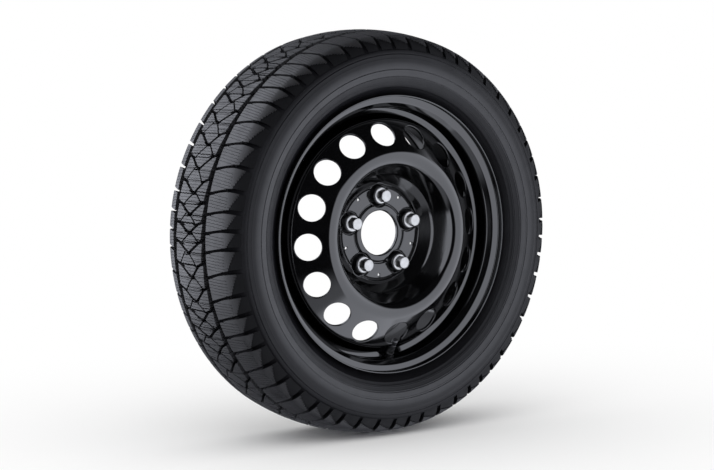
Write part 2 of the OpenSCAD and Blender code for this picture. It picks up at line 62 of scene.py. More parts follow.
# Wheel sizes in millimetres, as in the part's source
WHEEL_OFFSET = 43
RIM_WIDTH = 139.7
BEAD_SEAT_R = 190.1
FLANGE_HEIGHT = 17.3
FLANGE_CURL_R = 9.5
RIM_SHEET = 2.6
HEEL_R = 6.5
BEAD_SEAT_WIDTH = 18.8
BEAD_SEAT_TAPER = 5
HUMP_HEIGHT = 1.1
WELL_R = 172.8
WELL_INNER = 4
DISC_SHEET = 3.8
BORE_R = 33.3
BORE_RING_R = 41
BORE_RING_H = 1.6
PAD_INNER_R = 46
PAD_OUTER_R = 67
PAD_H = 0.9
HUB_RING_R = 76
HUB_RING_H = 2.4
NOSE_R = 116.3
NOSE_H = 47
NOSE_ROUND = 16
INNER_WALL_ANGLE = 62
FLANK_ANGLE = 35
BEND_R = 6
FOOT_ROUND = 9
SKIRT_DEPTH = 20
VENT_COUNT = 16
VENT_R = 20
VENT_CIRCLE_R = 149
VENT_PHASE = 93.15
DRAIN_R = 2.4
DRAIN_CIRCLE_R = 62.8
WELD_COUNT = 8
WELD_ARC = 24
BOLT_COUNT = 5
BOLT_CIRCLE_R = 56
BOLT_PHASE = 88.8
BOLT_HOLE_R = 7.25
BOLT_SHANK_R = 6
BOLT_SHANK_LENGTH = 28
HEX_AF = 17
HEX_H = 13
COLLAR_R = 11.8
COLLAR_H = 2
SEAT_TOP = DISC_SHEET + 5.4
SEAT_MOUTH_R = 10.6
BOSS_FOOT_R = 15.4
BOSS_TOP_R = 12.6
MOAT_R = 17.2
TYRE_R = 301.5
TREAD_HALF = 69.5
CROWN_DROP = 7.6
SECTION_HALF = 94.6
GROOVE_DEPTH = 8.2
PITCH_ORDER = "SSMLLLLMSSLLMSSLLLLSSLLMSSLLM"
PITCH_LENGTHS = {"S": 1.0, "M": 1.1, "L": 1.33}
PITCH_PHASE = 120.5
VALVE_ANGLE = -84.5
VALVE_TILT = 42
VALVE_PLACE = 0.68
VALVE_HOLE_R = 5.65
NOTCH_R = 8.6
RUBBER_LENGTH = 17
STEM_R = 3.85
STEM_LENGTH = 8
CAP_R = 4.7

# Sizes of the visible skin alone: its threads, and how far each bolt is turned in degrees
BOLT_THREAD_PITCH = 1.5
CAP_THREAD_PITCH = 0.7938
BOLT_TURNS = (17, 41, 3, 52, 29)

# Shapes of the visible skin alone, which the solids don't have. They were set by comparing the
# brightness of its reflections with the photo's, not measured.
LIP_END_ANGLE = 22  # the solids' lip curls on to 52 degrees
FLANGE_FACE_LOW_R = BEAD_SEAT_R + 5.2
FLANGE_FACE_RISE = 2.8
LEDGE_LOW_R = 177.4
LEDGE_MIDDLE_R = 182.2
LEDGE_HIGH_R = 186.6
LEDGE_ANGLE = 19
HUB_EDGE_R = 72.4
HUB_FOOT_R = 74.6
HUB_FOOT_DROP = 2.3
HUB_FOOT_ANGLE = 43.5
HUB_FOOT_END_R = 92

# Levels worked out from the sizes
MID = -WHEEL_OFFSET
HALF = RIM_WIDTH / 2
COLUMN = 1.125  # degrees between the columns of every turned surface
COLUMNS = 320


def wheel_points(radius, angle, height):
    """Points of the shared frame, in metres, for places on the wheel."""
    turn = np.radians(angle)
    return np.stack(
        np.broadcast_arrays(radius * np.cos(turn), -1.0 * height, radius * np.sin(turn)), axis=-1
    ) * MM


def round_z(radius, angle, height):
    """Points in metres of a turned part's own frame, where its axis is Z. angle is in radians."""
    radius, angle, height = np.broadcast_arrays(radius, angle, height)
    return np.stack([radius * np.cos(angle), radius * np.sin(angle), height], axis=-1) * MM


def tan(degrees):
    return math.tan(math.radians(degrees))


def sin(degrees):
    return math.sin(math.radians(degrees))


def cos(degrees):
    return math.cos(math.radians(degrees))


def arc(centre, radius, start, end, step=6):
    """Points (radius, height) on an arc, in degrees, with about one point each step."""
    count = max(2, int(abs(end - start) / step) + 1)
    a = np.radians(np.linspace(start, end, count))
    return np.stack([centre[0] + radius * np.cos(a), centre[1] + radius * np.sin(a)], axis=1)


def rounded(corners, step=8):
    """A line through corners given as (radius, height, rounding)."""
    points = [np.array(c[:2], float) for c in corners]
    line = [points[0]]
    for i in range(1, len(points) - 1):
        back = points[i - 1] - points[i]
        on = points[i + 1] - points[i]
        back_len, on_len = np.linalg.norm(back), np.linalg.norm(on)
        back, on = back / back_len, on / on_len
        bend = math.acos(np.clip(-np.dot(back, on), -1, 1))
        cut = min(corners[i][2] * math.tan(bend / 2), back_len * 0.49, on_len * 0.49)
        if bend < 1e-3 or cut < 1e-6:
            line.append(points[i])
            continue
        count = max(2, int(math.degrees(bend) / step) + 1)
        start, end = points[i] + back * cut, points[i] + on * cut
        for t in np.linspace(0, 1, count + 1):
            line.append((1 - t) ** 2 * start + 2 * t * (1 - t) * points[i] + t * t * end)
    line.append(points[-1])
    return np.array(line)


def normals(line):
    """Unit vectors on the left of a line, one at each point."""
    run = np.gradient(line, axis=0)
    left = np.stack([-run[:, 1], run[:, 0]], axis=1)
    return left / np.linalg.norm(left, axis=1, keepdims=True)


def lengths(line):
    """Distance along a line at each of its points."""
    steps = np.linalg.norm(np.diff(line, axis=0), axis=1)
    return np.concatenate([[0], np.cumsum(steps)])


def spread(line, places):
    """Points of a line at the given distances along it."""
    along = lengths(line)
    return np.stack([np.interp(places, along, line[:, k]) for k in (0, 1)], axis=-1)


def smooth_line(points, spacing):
    """A smooth curve through points, sampled about every spacing."""
    p = np.array(points, float)
    p = np.vstack([2 * p[0] - p[1], p, 2 * p[-1] - p[-2]])
    out = []
    for a, b, c, d in zip(p, p[1:], p[2:], p[3:]):
        count = max(2, int(np.linalg.norm(c - b) / spacing) + 1)
        t = np.linspace(0, 1, count, endpoint=False)[:, None]
        out.append(
            0.5 * (2 * b + (c - a) * t + (2 * a - 5 * b + 4 * c - d) * t**2
                   + (3 * b - a - 3 * c + d) * t**3)
        )
    out.append(p[-2:-1])
    return np.vstack(out)


def ease(x, low, high):
    """0 below low, 1 above high and a smooth step between."""
    t = np.clip((x - low) / (high - low), 0, 1)
    return t * t * (3 - 2 * t)


class Skin:
    """Collects points and faces, and turns them into one mesh object."""

    def __init__(self):
        self.points, self.faces, self.count = [], [], 0

    def add(self, points):
        """Adds points and returns their numbers in the same layout."""
        shape = points.shape[:-1]
        ids = np.arange(self.count, self.count + int(np.prod(shape))).reshape(shape)
        self.points.append(points.reshape(-1, 3))
        self.count += ids.size
        return ids

    def grid(self, ids, wrap=False, keep=None):
        """Four-sided faces between neighbouring numbers of a table."""
        nxt = np.roll(ids, -1, axis=1) if wrap else ids[:, 1:]
        now = ids if wrap else ids[:, :-1]
        quads = np.stack([now[:-1], nxt[:-1], nxt[1:], now[1:]], axis=-1)
        if keep is not None:
            quads = quads[keep]
        self.faces.append(quads.reshape(-1, 4))

    def cap(self, ids, centre):
        """Closes a ring of numbers with a fan round a middle point."""
        middle = int(self.add(np.array([centre], float))[0])
        ring = np.asarray(ids)
        fan = np.stack([ring, np.roll(ring, -1), np.full(ring.size, middle)], axis=1)
        self.faces.append(np.concatenate([fan, fan[:, 2:]], axis=1))

    def build(self, name, material, sharp=35, turn=None):
        """Makes the object, with every face turned outward."""
        points = np.vstack(self.points)
        if turn is not None:
            points = points @ np.array(turn.to_3x3()).T + np.array(turn.translation)
        faces = [
            list(dict.fromkeys(f)) for f in np.vstack(self.faces).tolist()
        ]
        mesh = bpy.data.meshes.new(name)
        mesh.from_pydata(points.tolist(), [], [f for f in faces if len(f) > 2])
        mesh.update()
        piece = bpy.data.objects.new(name, mesh)
        bpy.context.scene.collection.objects.link(piece)
        finish_mesh(piece, material, sharp)
        return piece


def finish_mesh(piece, material, sharp=35):
    """Outward faces, smooth shading with sharp corners, and the material."""
    mesh = piece.data
    work = bmesh.new()
    work.from_mesh(mesh)
    bmesh.ops.recalc_face_normals(work, faces=work.faces)
    work.to_mesh(mesh)
    work.free()
    mesh.polygons.foreach_set("use_smooth", [True] * len(mesh.polygons))
    mesh.set_sharp_from_angle(angle=math.radians(sharp))
    mesh.materials.clear()
    mesh.materials.append(material)


def turned(skin, line):
    """Turns a closed line (radius, height) round the wheel's axis."""
    angles = np.arange(COLUMNS) * COLUMN
    skin.grid(skin.add(wheel_points(line[:, :1], angles[None, :], line[:, 1:])), wrap=True)


# Materials

def new_material(name):
    """A node material, its tree and its Principled shader."""
    material = bpy.data.materials.new(name)
    material.use_nodes = True
    tree = material.node_tree
    return material, tree, tree.nodes["Principled BSDF"]


def node(tree, kind, inputs=None, **settings):
    """A shader node with its settings, and its inputs set or linked."""
    made = tree.nodes.new(kind)
    for key, value in settings.items():
        setattr(made, key, value)
    for key, value in (inputs or {}).items():
        if isinstance(value, bpy.types.NodeSocket):
            tree.links.new(value, made.inputs[key])
        else:
            made.inputs[key].default_value = value
    return made


def shades(tree, value, stops):
    """Colours by a value: stops are (place, grey or colour)."""
    ramp = node(tree, "ShaderNodeValToRGB", {"Fac": value})
    ends = ramp.color_ramp.elements
    while len(ends) < len(stops):
        ends.new(0.5)
    for end, (place, colour) in zip(ends, stops):
        grey = colour if isinstance(colour, tuple) else (colour, colour, colour)
        end.position = place
        end.color = (*grey, 1)
    return ramp.outputs["Color"]


def noise(tree, place, scale, detail=3, rough=0.55):
    return node(
        tree, "ShaderNodeTexNoise", {"Vector": place, "Scale": scale, "Detail": detail, "Roughness": rough}
    ).outputs["Fac"]


def bump(tree, height, distance, strength=1.0, normal=None):
    inputs = {"Height": height, "Distance": distance, "Strength": strength}
    if normal is not None:
        inputs["Normal"] = normal
    return node(tree, "ShaderNodeBump", inputs).outputs["Normal"]


def math_node(tree, operation, a, b=0.0):
    made = node(tree, "ShaderNodeMath", operation=operation)
    for socket, value in zip(made.inputs, (a, b)):
        if isinstance(value, bpy.types.NodeSocket):
            tree.links.new(value, socket)
        else:
            socket.default_value = value
    return made.outputs["Value"]


def wheel_coordinates(tree):
    """Distance from the wheel's axis in metres and the point itself, for patterns on the wheel."""
    place = node(tree, "ShaderNodeTexCoord").outputs["Object"]
    split = node(tree, "ShaderNodeSeparateXYZ", {"Vector": place})
    squares = [math_node(tree, "MULTIPLY", split.outputs[k], split.outputs[k]) for k in ("X", "Z")]
    return math_node(tree, "SQRT", math_node(tree, "ADD", *squares)), place


def paint_material():
    """Gloss black stoving enamel: a deep coat with faint waviness and fine dust in it."""
    material, tree, shader = new_material("black_enamel")
    place = node(tree, "ShaderNodeTexCoord").outputs["Object"]
    mottle = noise(tree, place, 45)
    colour = shades(tree, mottle, [(0.3, (0.0008, 0.0008, 0.0010)), (0.75, (0.0016, 0.0016, 0.0019))])
    tree.links.new(colour, shader.inputs["Base Color"])
    rough = shades(tree, noise(tree, place, 18, 4), [(0.3, 0.07), (0.75, 0.12)])
    tree.links.new(rough, shader.inputs["Roughness"])
    waves = bump(tree, noise(tree, place, 130, 2), 0.00005, 0.35)
    dust = bump(tree, noise(tree, place, 2600, 1), 0.00001, 0.25, waves)
    tree.links.new(dust, shader.inputs["Normal"])
    shader.inputs["IOR"].default_value = 1.52
    return material


def rubber_material(name, base, rough, grain, zones=None):
    """Rubber or plastic: matt, with a fine moulded grain and slightly lighter and darker patches.

    zones are (radius in mm, shine), set ring by ring against the photo's brightness.
    """
    material, tree, shader = new_material(name)
    radius, place = wheel_coordinates(tree)
    cloud = noise(tree, place, 26, 4)
    fine = noise(tree, place, 420, 3)
    cloud, fine = math_node(tree, "MULTIPLY", cloud, 0.65), math_node(tree, "MULTIPLY", fine, 0.35)
    mixed = math_node(tree, "ADD", cloud, fine)
    dark = tuple(c * 0.72 for c in base)
    light = tuple(c * 1.25 for c in base)
    tree.links.new(shades(tree, mixed, [(0.3, dark), (0.7, light)]), shader.inputs["Base Color"])
    tree.links.new(
        shades(tree, noise(tree, place, 60, 3), [(0.3, rough - 0.06), (0.7, rough + 0.06)]),
        shader.inputs["Roughness"],
    )
    pores = bump(tree, noise(tree, place, 1500, 2), 0.00006, grain)
    tree.links.new(pores, shader.inputs["Normal"])
    shader.inputs["IOR"].default_value = 1.52
    if zones:
        level = shades(tree, math_node(tree, "MULTIPLY", radius, 3.0), [(3 * r / 1000, v) for r, v in zones])
        tree.links.new(level, shader.inputs["Specular IOR Level"])
    return material


def metal_material(name, colour, rough, scratch_scale=900, grain=0.3):
    """Plated or bare metal with a fine uneven surface."""
    material, tree, shader = new_material(name)
    place = node(tree, "ShaderNodeTexCoord").outputs["Object"]
    cloud = noise(tree, place, 160, 4)
    dark = tuple(c * 0.82 for c in colour)
    tree.links.new(shades(tree, cloud, [(0.3, dark), (0.7, colour)]), shader.inputs["Base Color"])
    tree.links.new(
        shades(tree, noise(tree, place, 300, 3), [(0.3, rough * 0.8), (0.7, rough * 1.25)]),
        shader.inputs["Roughness"],
    )
    tree.links.new(bump(tree, noise(tree, place, scratch_scale, 3), 0.00003, grain), shader.inputs["Normal"])
    shader.inputs["Metallic"].default_value = 1.0
    return material


enamel = paint_material()
tread_rubber = rubber_material("tread_rubber", (0.014, 0.014, 0.0155), 0.5, 0.35, [
    (200, 0.05), (284, 0.12), (292, 0.3), (297, 0.5), (300, 0.5),
])
casing_rubber = rubber_material("casing_rubber", (0.005, 0.005, 0.006), 0.42, 0.3, [
    (205, 0.05), (218, 0.05), (224, 0.13), (232, 0.16), (236, 0.31), (246, 0.29), (252, 0.22), (256, 0.13),
    (266, 0.10), (272, 0.05), (278, 0.01),
])
# A darker copy of the tread rubber, for the sunk feet of the shoulder blocks: painted shade in the recess
# below the raised steps.
shaded_shoulder_rubber = rubber_material("shaded_shoulder_rubber", (0.002, 0.002, 0.0024), 0.6, 1.0, [
    (200, 0.07), (300, 0.08),
])
valve_rubber = rubber_material("valve_rubber", (0.012, 0.012, 0.013), 0.45, 0.3)
cap_plastic = rubber_material("cap_plastic", (0.016, 0.016, 0.018), 0.35, 0.2)
zinc = metal_material("zinc_plating", (0.29, 0.29, 0.285), 0.34)
brass = metal_material("brass", (0.80, 0.62, 0.32), 0.28)
spring_steel = metal_material("spring_steel", (0.55, 0.55, 0.57), 0.25)
core_seal = rubber_material("core_seal", (0.10, 0.02, 0.015), 0.5, 0.2)


# Rim

def rim_line():
    """Tyre side of the rim from the outboard rolled edge to the inboard one."""
    curl = (BEAD_SEAT_R + FLANGE_HEIGHT - FLANGE_CURL_R, MID + HALF + FLANGE_CURL_R)
    heel = (BEAD_SEAT_R + HEEL_R, MID + HALF - HEEL_R)
    seat_end_h = HALF - BEAD_SEAT_WIDTH
    seat_end_r = BEAD_SEAT_R - (BEAD_SEAT_WIDTH - HEEL_R) * tan(BEAD_SEAT_TAPER)
    hump_end_h = seat_end_h - 4
    slope_run = (seat_end_r - WELL_R) / tan(VALVE_TILT)
    well_outer = hump_end_h - slope_run
    flange = arc(curl, FLANGE_CURL_R, LIP_END_ANGLE, -90, 5)
    heel_arc = arc(heel, HEEL_R, 90, 180, 8)
    seat = [
        (heel_arc[-1][0], heel_arc[-1][1], 0),
        (seat_end_r, MID + seat_end_h, 3),
        (seat_end_r + HUMP_HEIGHT, MID + seat_end_h - 1.5, 3),
        (seat_end_r + HUMP_HEIGHT, MID + seat_end_h - 2.7, 3),
        (seat_end_r, MID + hump_end_h, 7),
        (WELL_R, MID + well_outer, 9),
        (WELL_R, MID + WELL_INNER, 9),
    ]
    outer = np.vstack([flange, heel_arc[1:-1]])
    other = [(r, 2 * MID - h, w) for r, h, w in seat[-3::-1]]
    middle = rounded(seat + other)
    inner = outer[::-1] * [1, -1] + [0, 2 * MID]
    line = np.vstack([outer, middle, inner])
    foot = np.array([
        seat_end_r + (WELL_R - seat_end_r) * (1 - VALVE_PLACE), MID + well_outer + slope_run * VALVE_PLACE
    ])
    return line, foot


def thinned(line, spacing):
    """The line at about even spacing, kept smooth."""
    along = lengths(line)
    return spread(line, np.linspace(0, along[-1], int(along[-1] / spacing) + 1))


def with_ledge(air):
    """The visible side with a flatter ledge on the slope up to the bead seat."""
    radius, height = air[:, 0], air[:, 1]
    near = (radius > LEDGE_LOW_R - 4) & (radius < LEDGE_HIGH_R + 2)
    outboard = (height > MID + WELL_INNER + 20) & (height < MID + HALF - BEAD_SEAT_WIDTH)
    slope = np.nonzero(near & outboard)[0]
    r = radius[slope]
    order = np.argsort(r)
    middle = np.interp(LEDGE_MIDDLE_R, r[order], height[slope][order])
    flat = middle + (r - LEDGE_MIDDLE_R) * tan(LEDGE_ANGLE)
    ends = np.interp(r, [LEDGE_LOW_R - 3, LEDGE_LOW_R, LEDGE_HIGH_R, LEDGE_HIGH_R + 1.6], [0, 1, 1, 0])
    result = air.copy()
    result[slope, 1] = height[slope] * (1 - ends) + flat * ends
    return result


def with_flange(air):
    """The visible side with its flange: a slanted face between the heel's slope and the lip's curl."""
    face = MID + HALF + RIM_SHEET
    curl = (BEAD_SEAT_R + FLANGE_HEIGHT - FLANGE_CURL_R, MID + HALF + FLANGE_CURL_R)
    inner_r = FLANGE_CURL_R - RIM_SHEET
    wall_r = curl[0] + inner_r
    top = arc(curl, inner_r, LIP_END_ANGLE, 0, 5)
    join = np.argmax(air[:, 1] < face - 9.2)
    lower = rounded([
        (wall_r, curl[1] - 0.6, 0), (wall_r, face + FLANGE_FACE_RISE, 1.6), (FLANGE_FACE_LOW_R, face, 1.8),
        (BEAD_SEAT_R - 1.7, face - 6.6, 2.5), (*air[join], 0),
    ])
    return thinned(np.vstack([top, lower, air[join + 1:]]), 1.35)


def make_rim():
    """Rim band: its section turned round the axis. The ledge fades out round the valve."""
    line, _ = rim_line()
    line = thinned(line, 1.9)
    air = line + normals(line) * RIM_SHEET
    inside_curl = [200, MID + HALF + 9]
    if np.linalg.norm(air[0] - inside_curl) > np.linalg.norm(line[0] - inside_curl):
        air = line - normals(line) * RIM_SHEET
    air = with_flange(air)
    edge_a = rolled_edge(line[0], air[0], line[1] - line[0])
    edge_b = rolled_edge(line[-1], air[-1], line[-2] - line[-1])

    def loop(side):
        return np.vstack([side[::-1], edge_a[::-1], line, edge_b, side[-1:]])

    angles = np.arange(COLUMNS) * COLUMN
    away = np.abs((angles - VALVE_ANGLE + 180) % 360 - 180)
    ledge = ease(away, 3.4, 6.5)[None, :]
    plain, stepped = loop(air), loop(with_ledge(air))
    height = plain[:, 1:] * (1 - ledge) + stepped[:, 1:] * ledge
    skin = Skin()
    ids = skin.add(wheel_points(plain[:, :1] + 0 * height, angles[None, :] + 0 * height, height))
    skin.grid(ids, wrap=True)
    rim = skin.build("rim_skin", enamel, 50)
    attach(rim, "wheel")
    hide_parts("rim")


def rolled_edge(outer, inner, inward, count=5):
    """Half round that closes a sheet's edge, from the outer to the inner side."""
    centre = (outer + inner) / 2
    across = (outer - inner) / 2
    out = -inward / np.linalg.norm(inward) * np.linalg.norm(across) * 0.9
    a = np.linspace(0, math.pi, count + 2)[1:-1]
    return centre + np.cos(a)[:, None] * across + np.sin(a)[:, None] * out


make_rim()


# Disc

PLATE_TOP = DISC_SHEET - PAD_H
FLANK_PHASE = VENT_PHASE - 4 * COLUMN  # the nearest column to a vent's middle
BOLT_STEP, VENT_STEP = 64, 20  # columns from one bolt or vent to the next
HUB_END_R = 77.0


def disc_profile():
    """Outer surface of the disc from the bore to the skirt's end, and a vent's height and place on it."""
    skirt_r = WELL_R - RIM_SHEET
    foot_h = DISC_SHEET + HUB_RING_H
    nose = (NOSE_R, DISC_SHEET + NOSE_H - NOSE_ROUND)
    flank_start = (nose[0] + NOSE_ROUND * sin(FLANK_ANGLE), nose[1] + NOSE_ROUND * cos(FLANK_ANGLE))
    bend_r = skirt_r - BEND_R
    bend_h = (
        flank_start[1] - (bend_r + BEND_R * sin(FLANK_ANGLE) - flank_start[0]) * tan(FLANK_ANGLE)
        - BEND_R * cos(FLANK_ANGLE)
    )
    wall = (NOSE_R - NOSE_ROUND * sin(INNER_WALL_ANGLE), nose[1] + NOSE_ROUND * cos(INNER_WALL_ANGLE))
    wall_foot_r = wall[0] - (wall[1] - foot_h) / tan(INNER_WALL_ANGLE)
    foot_r = wall_foot_r - FOOT_ROUND * tan(INNER_WALL_ANGLE / 2)
    line = np.vstack([
        [[BORE_R, foot_h]],
        arc((foot_r, foot_h + FOOT_ROUND), FOOT_ROUND, -90, INNER_WALL_ANGLE - 90, 3),
        arc(nose, NOSE_ROUND, 90 + INNER_WALL_ANGLE, 90 - FLANK_ANGLE, 2),
        arc((bend_r, bend_h), BEND_R, 90 - FLANK_ANGLE, 0, 4),
        [[skirt_r, -SKIRT_DEPTH]],
    ])
    vent_h = flank_start[1] - (VENT_CIRCLE_R - flank_start[0]) * tan(FLANK_ANGLE)
    vent_at = np.interp(VENT_CIRCLE_R, line[:-1, 0], lengths(line)[:-1])
    return line, vent_h, vent_at


DISC_LINE, VENT_H, VENT_AT = disc_profile()
DISC_ALONG = lengths(DISC_LINE)
DISC_OUT = normals(thinned(DISC_LINE, 0.5))
DISC_OUT_ALONG = np.linspace(0, DISC_ALONG[-1], len(DISC_OUT))


def trough(place, middle, half, depth):
    """Depth of a sharp pressed-in line."""
    return depth * np.clip(1 - np.abs(place - middle) / half, 0, 1)


def hub_height(radius, turn):
    """Height of the hub plate's outer side, with its ring, pads, dished grounds and bosses."""
    step = 360 / BOLT_COUNT
    off = np.radians((turn - BOLT_PHASE + step / 2) % step - step / 2)
    gap = np.sqrt(radius**2 + BOLT_CIRCLE_R**2 - 2 * radius * BOLT_CIRCLE_R * np.cos(off))
    across = np.abs(np.degrees(np.abs(off)) - step / 2)
    height = np.full(np.broadcast(radius, turn).shape, float(PLATE_TOP))
    ring = (DISC_SHEET + BORE_RING_H - PLATE_TOP) * (1 - ease(radius, BORE_RING_R - 0.2, BORE_RING_R + 2.2))
    ring = ring - 1.5 * (1 - ease(radius, BORE_R - 0.6, BORE_R + 1.6))
    notch = 1 - ease(across * radius * math.pi / 180, 1.6, 2.4)
    notch = notch * ease(radius, PAD_OUTER_R - 2.4, PAD_OUTER_R - 1.4)
    pad = PAD_H * ease(radius, PAD_INNER_R - 0.9, PAD_INNER_R)
    pad = pad * (1 - ease(radius, PAD_OUTER_R, PAD_OUTER_R + 0.9)) * (1 - notch)
    rise = (HUB_RING_H + PAD_H) * ease(radius, HUB_RING_R - 6.6, HUB_RING_R - 4.0)
    height = height + ring + pad + rise - trough(radius, 44.6, 2.1, 1.7) - trough(radius, 69.2, 2.3, 1.7)
    ground = PLATE_TOP - 0.25
    height = ground + (height - ground) * ease(gap, MOAT_R - 0.5, MOAT_R + 0.7)
    height = height - trough(gap, MOAT_R - 0.5, 2.2, 1.7)
    boss = np.interp(
        gap,
        [BOLT_HOLE_R, SEAT_MOUTH_R - 0.2, SEAT_MOUTH_R + 0.3, BOSS_TOP_R - 0.5, BOSS_TOP_R, BOSS_TOP_R + 0.6,
         BOSS_FOOT_R - 0.8, BOSS_FOOT_R, BOSS_FOOT_R + 0.6],
        [SEAT_TOP - 6.2, SEAT_TOP - 0.35, SEAT_TOP, SEAT_TOP, SEAT_TOP - 0.3, SEAT_TOP - 1.1,
         ground + 1.4, ground + 0.3, 0],
    )
    return np.maximum(height, boss)


def disc_front(along, turn):
    """Outer surface of the disc at a distance along its section and an angle."""
    radius = np.interp(along, DISC_ALONG, DISC_LINE[:, 0])
    height = np.interp(along, DISC_ALONG, DISC_LINE[:, 1])
    radius, height, turn = np.broadcast_arrays(radius, height, turn)
    height = np.where(radius < HUB_END_R, hub_height(radius, turn), height)
    drop = HUB_FOOT_DROP * np.clip((radius - HUB_EDGE_R) / (HUB_FOOT_R - HUB_EDGE_R), 0, 1)
    height = height - drop * (radius < HUB_FOOT_R + 3.8)
    ramp = HUB_RING_H + DISC_SHEET - HUB_FOOT_DROP + tan(HUB_FOOT_ANGLE) * (radius - HUB_FOOT_R)
    on_ramp = (radius > HUB_FOOT_R) & (radius < HUB_FOOT_END_R)
    return radius, np.where(on_ramp, np.maximum(ramp, height), height)


def disc_back(along, turn):
    """Inner surface: flat against the hub, then one sheet's thickness under the outer surface."""
    radius = np.interp(along, DISC_ALONG, DISC_LINE[:, 0])
    height = np.interp(along, DISC_ALONG, DISC_LINE[:, 1])
    out_r = np.interp(along, DISC_OUT_ALONG, DISC_OUT[:, 0])
    out_h = np.interp(along, DISC_OUT_ALONG, DISC_OUT[:, 1])
    lift = ease(radius, HUB_RING_R - 2, HUB_RING_R + 2)
    back_r = radius - out_r * DISC_SHEET
    back_h = (height - out_h * DISC_SHEET) * lift
    radius, height, turn = np.broadcast_arrays(np.where(lift > 0, back_r, radius), back_h, turn)
    return radius, height


def vent_ring(radius, turn, depth):
    """Places round a vent at a radius from its axis, depth below the outer surface: along, angle."""
    lean_r, lean_h = sin(FLANK_ANGLE), cos(FLANK_ANGLE)
    down, side_way = radius * np.cos(turn), radius * np.sin(turn)
    sink = np.zeros_like(down)
    for _ in range(12):
        x = VENT_CIRCLE_R + down * lean_h + sink * lean_r
        h = VENT_H - down * lean_r + sink * lean_h
        reach = np.hypot(x, side_way)
        target = VENT_H - (reach - VENT_CIRCLE_R) * tan(FLANK_ANGLE) - depth / lean_h
        sink = sink + (target - h) * lean_h
    return reach, np.degrees(np.arctan2(side_way, x)), h


def hole_positions(kind, middle, radius, turn, depth=0.0, front=True):
    """Radius, angle and height of a ring of places round a hole."""
    if kind == "vent":
        reach, off, height = vent_ring(radius, turn, depth)
        return reach, middle + off, height
    centre = BOLT_CIRCLE_R if kind == "bolt" else DRAIN_CIRCLE_R
    x = centre + radius * np.cos(turn)
    y = radius * np.sin(turn)
    reach, angle = np.hypot(x, y), middle + np.degrees(np.arctan2(y, x))
    height = hub_height(reach, angle) if front else np.zeros_like(reach)
    return reach, angle, height - depth


class Hole:
    """One hole of the disc: where its middle lies and which cells of the table it takes."""

    def __init__(self, kind, column, rows, half_width, rings, radius):
        self.kind, self.column, self.rows = kind, column, rows
        self.half_width, self.rings, self.radius = half_width, rings, radius


def disc_side(skin, rows, surface, holes, phases):
    """A table of points over one side of the disc, with each hole's cells drawn as rings."""
    turns = phases[:, None] + np.arange(COLUMNS)[None, :] * COLUMN
    radius, height = surface(rows[:, None], turns)
    ids = skin.add(wheel_points(radius, turns, height))
    keep = np.ones((len(rows) - 1, COLUMNS), bool)
    loops = []
    for hole in holes:
        low, high = hole.rows
        columns = np.arange(hole.column - hole.half_width, hole.column + hole.half_width + 1)
        keep[low:high, columns[:-1] % COLUMNS] = False
        row_list = np.concatenate([
            np.full(len(columns) - 1, low), np.arange(low, high),
            np.full(len(columns) - 1, high), np.arange(high, low, -1),
        ])
        column_list = np.concatenate([
            columns[:-1], np.full(high - low, columns[-1]), columns[:0:-1], np.full(high - low, columns[0])
        ])
        edge_ids = ids[row_list, column_list % COLUMNS]
        edge_along = rows[row_list]
        edge_turn = phases[row_list] + column_list * COLUMN
        middle = phases[low] + hole.column * COLUMN
        edge_r = np.interp(edge_along, DISC_ALONG, DISC_LINE[:, 0])
        off = np.radians(edge_turn - middle)
        if hole.kind == "vent":
            direction = np.arctan2(edge_r * np.sin(off), edge_along - VENT_AT)
        else:
            centre = BOLT_CIRCLE_R if hole.kind == "bolt" else DRAIN_CIRCLE_R
            direction = np.arctan2(edge_r * np.sin(off), edge_r * np.cos(off) - centre)
        reach, turn, _ = hole_positions(hole.kind, middle, hole.radius, direction)
        inner_along = along_of(reach)
        ring_ids = [edge_ids]
        for step in range(1, hole.rings + 1):
            t = (step / hole.rings) ** 0.85
            a = edge_along * (1 - t) + inner_along * t
            g = edge_turn * (1 - t) + turn * t
            if hole.kind != "vent":
                er, et = edge_r * np.cos(off), edge_r * np.sin(off)
                ir, it = reach * np.cos(np.radians(turn - middle)), reach * np.sin(np.radians(turn - middle))
                mx, my = er * (1 - t) + ir * t, et * (1 - t) + it * t
                a, g = along_of(np.hypot(mx, my)), middle + np.degrees(np.arctan2(my, mx))
            r, h = surface(a, g)
            ring_ids.append(skin.add(wheel_points(r, g, h)))
        skin.grid(np.array(ring_ids), wrap=True)
        loops.append((hole, middle, direction, ring_ids[-1]))
    skin.grid(ids, wrap=True, keep=keep)
    return ids, loops


def along_of(radius):
    """Distance along the disc's section at a radius short of the skirt."""
    return np.interp(radius, DISC_LINE[:-1, 0], DISC_ALONG[:-1])


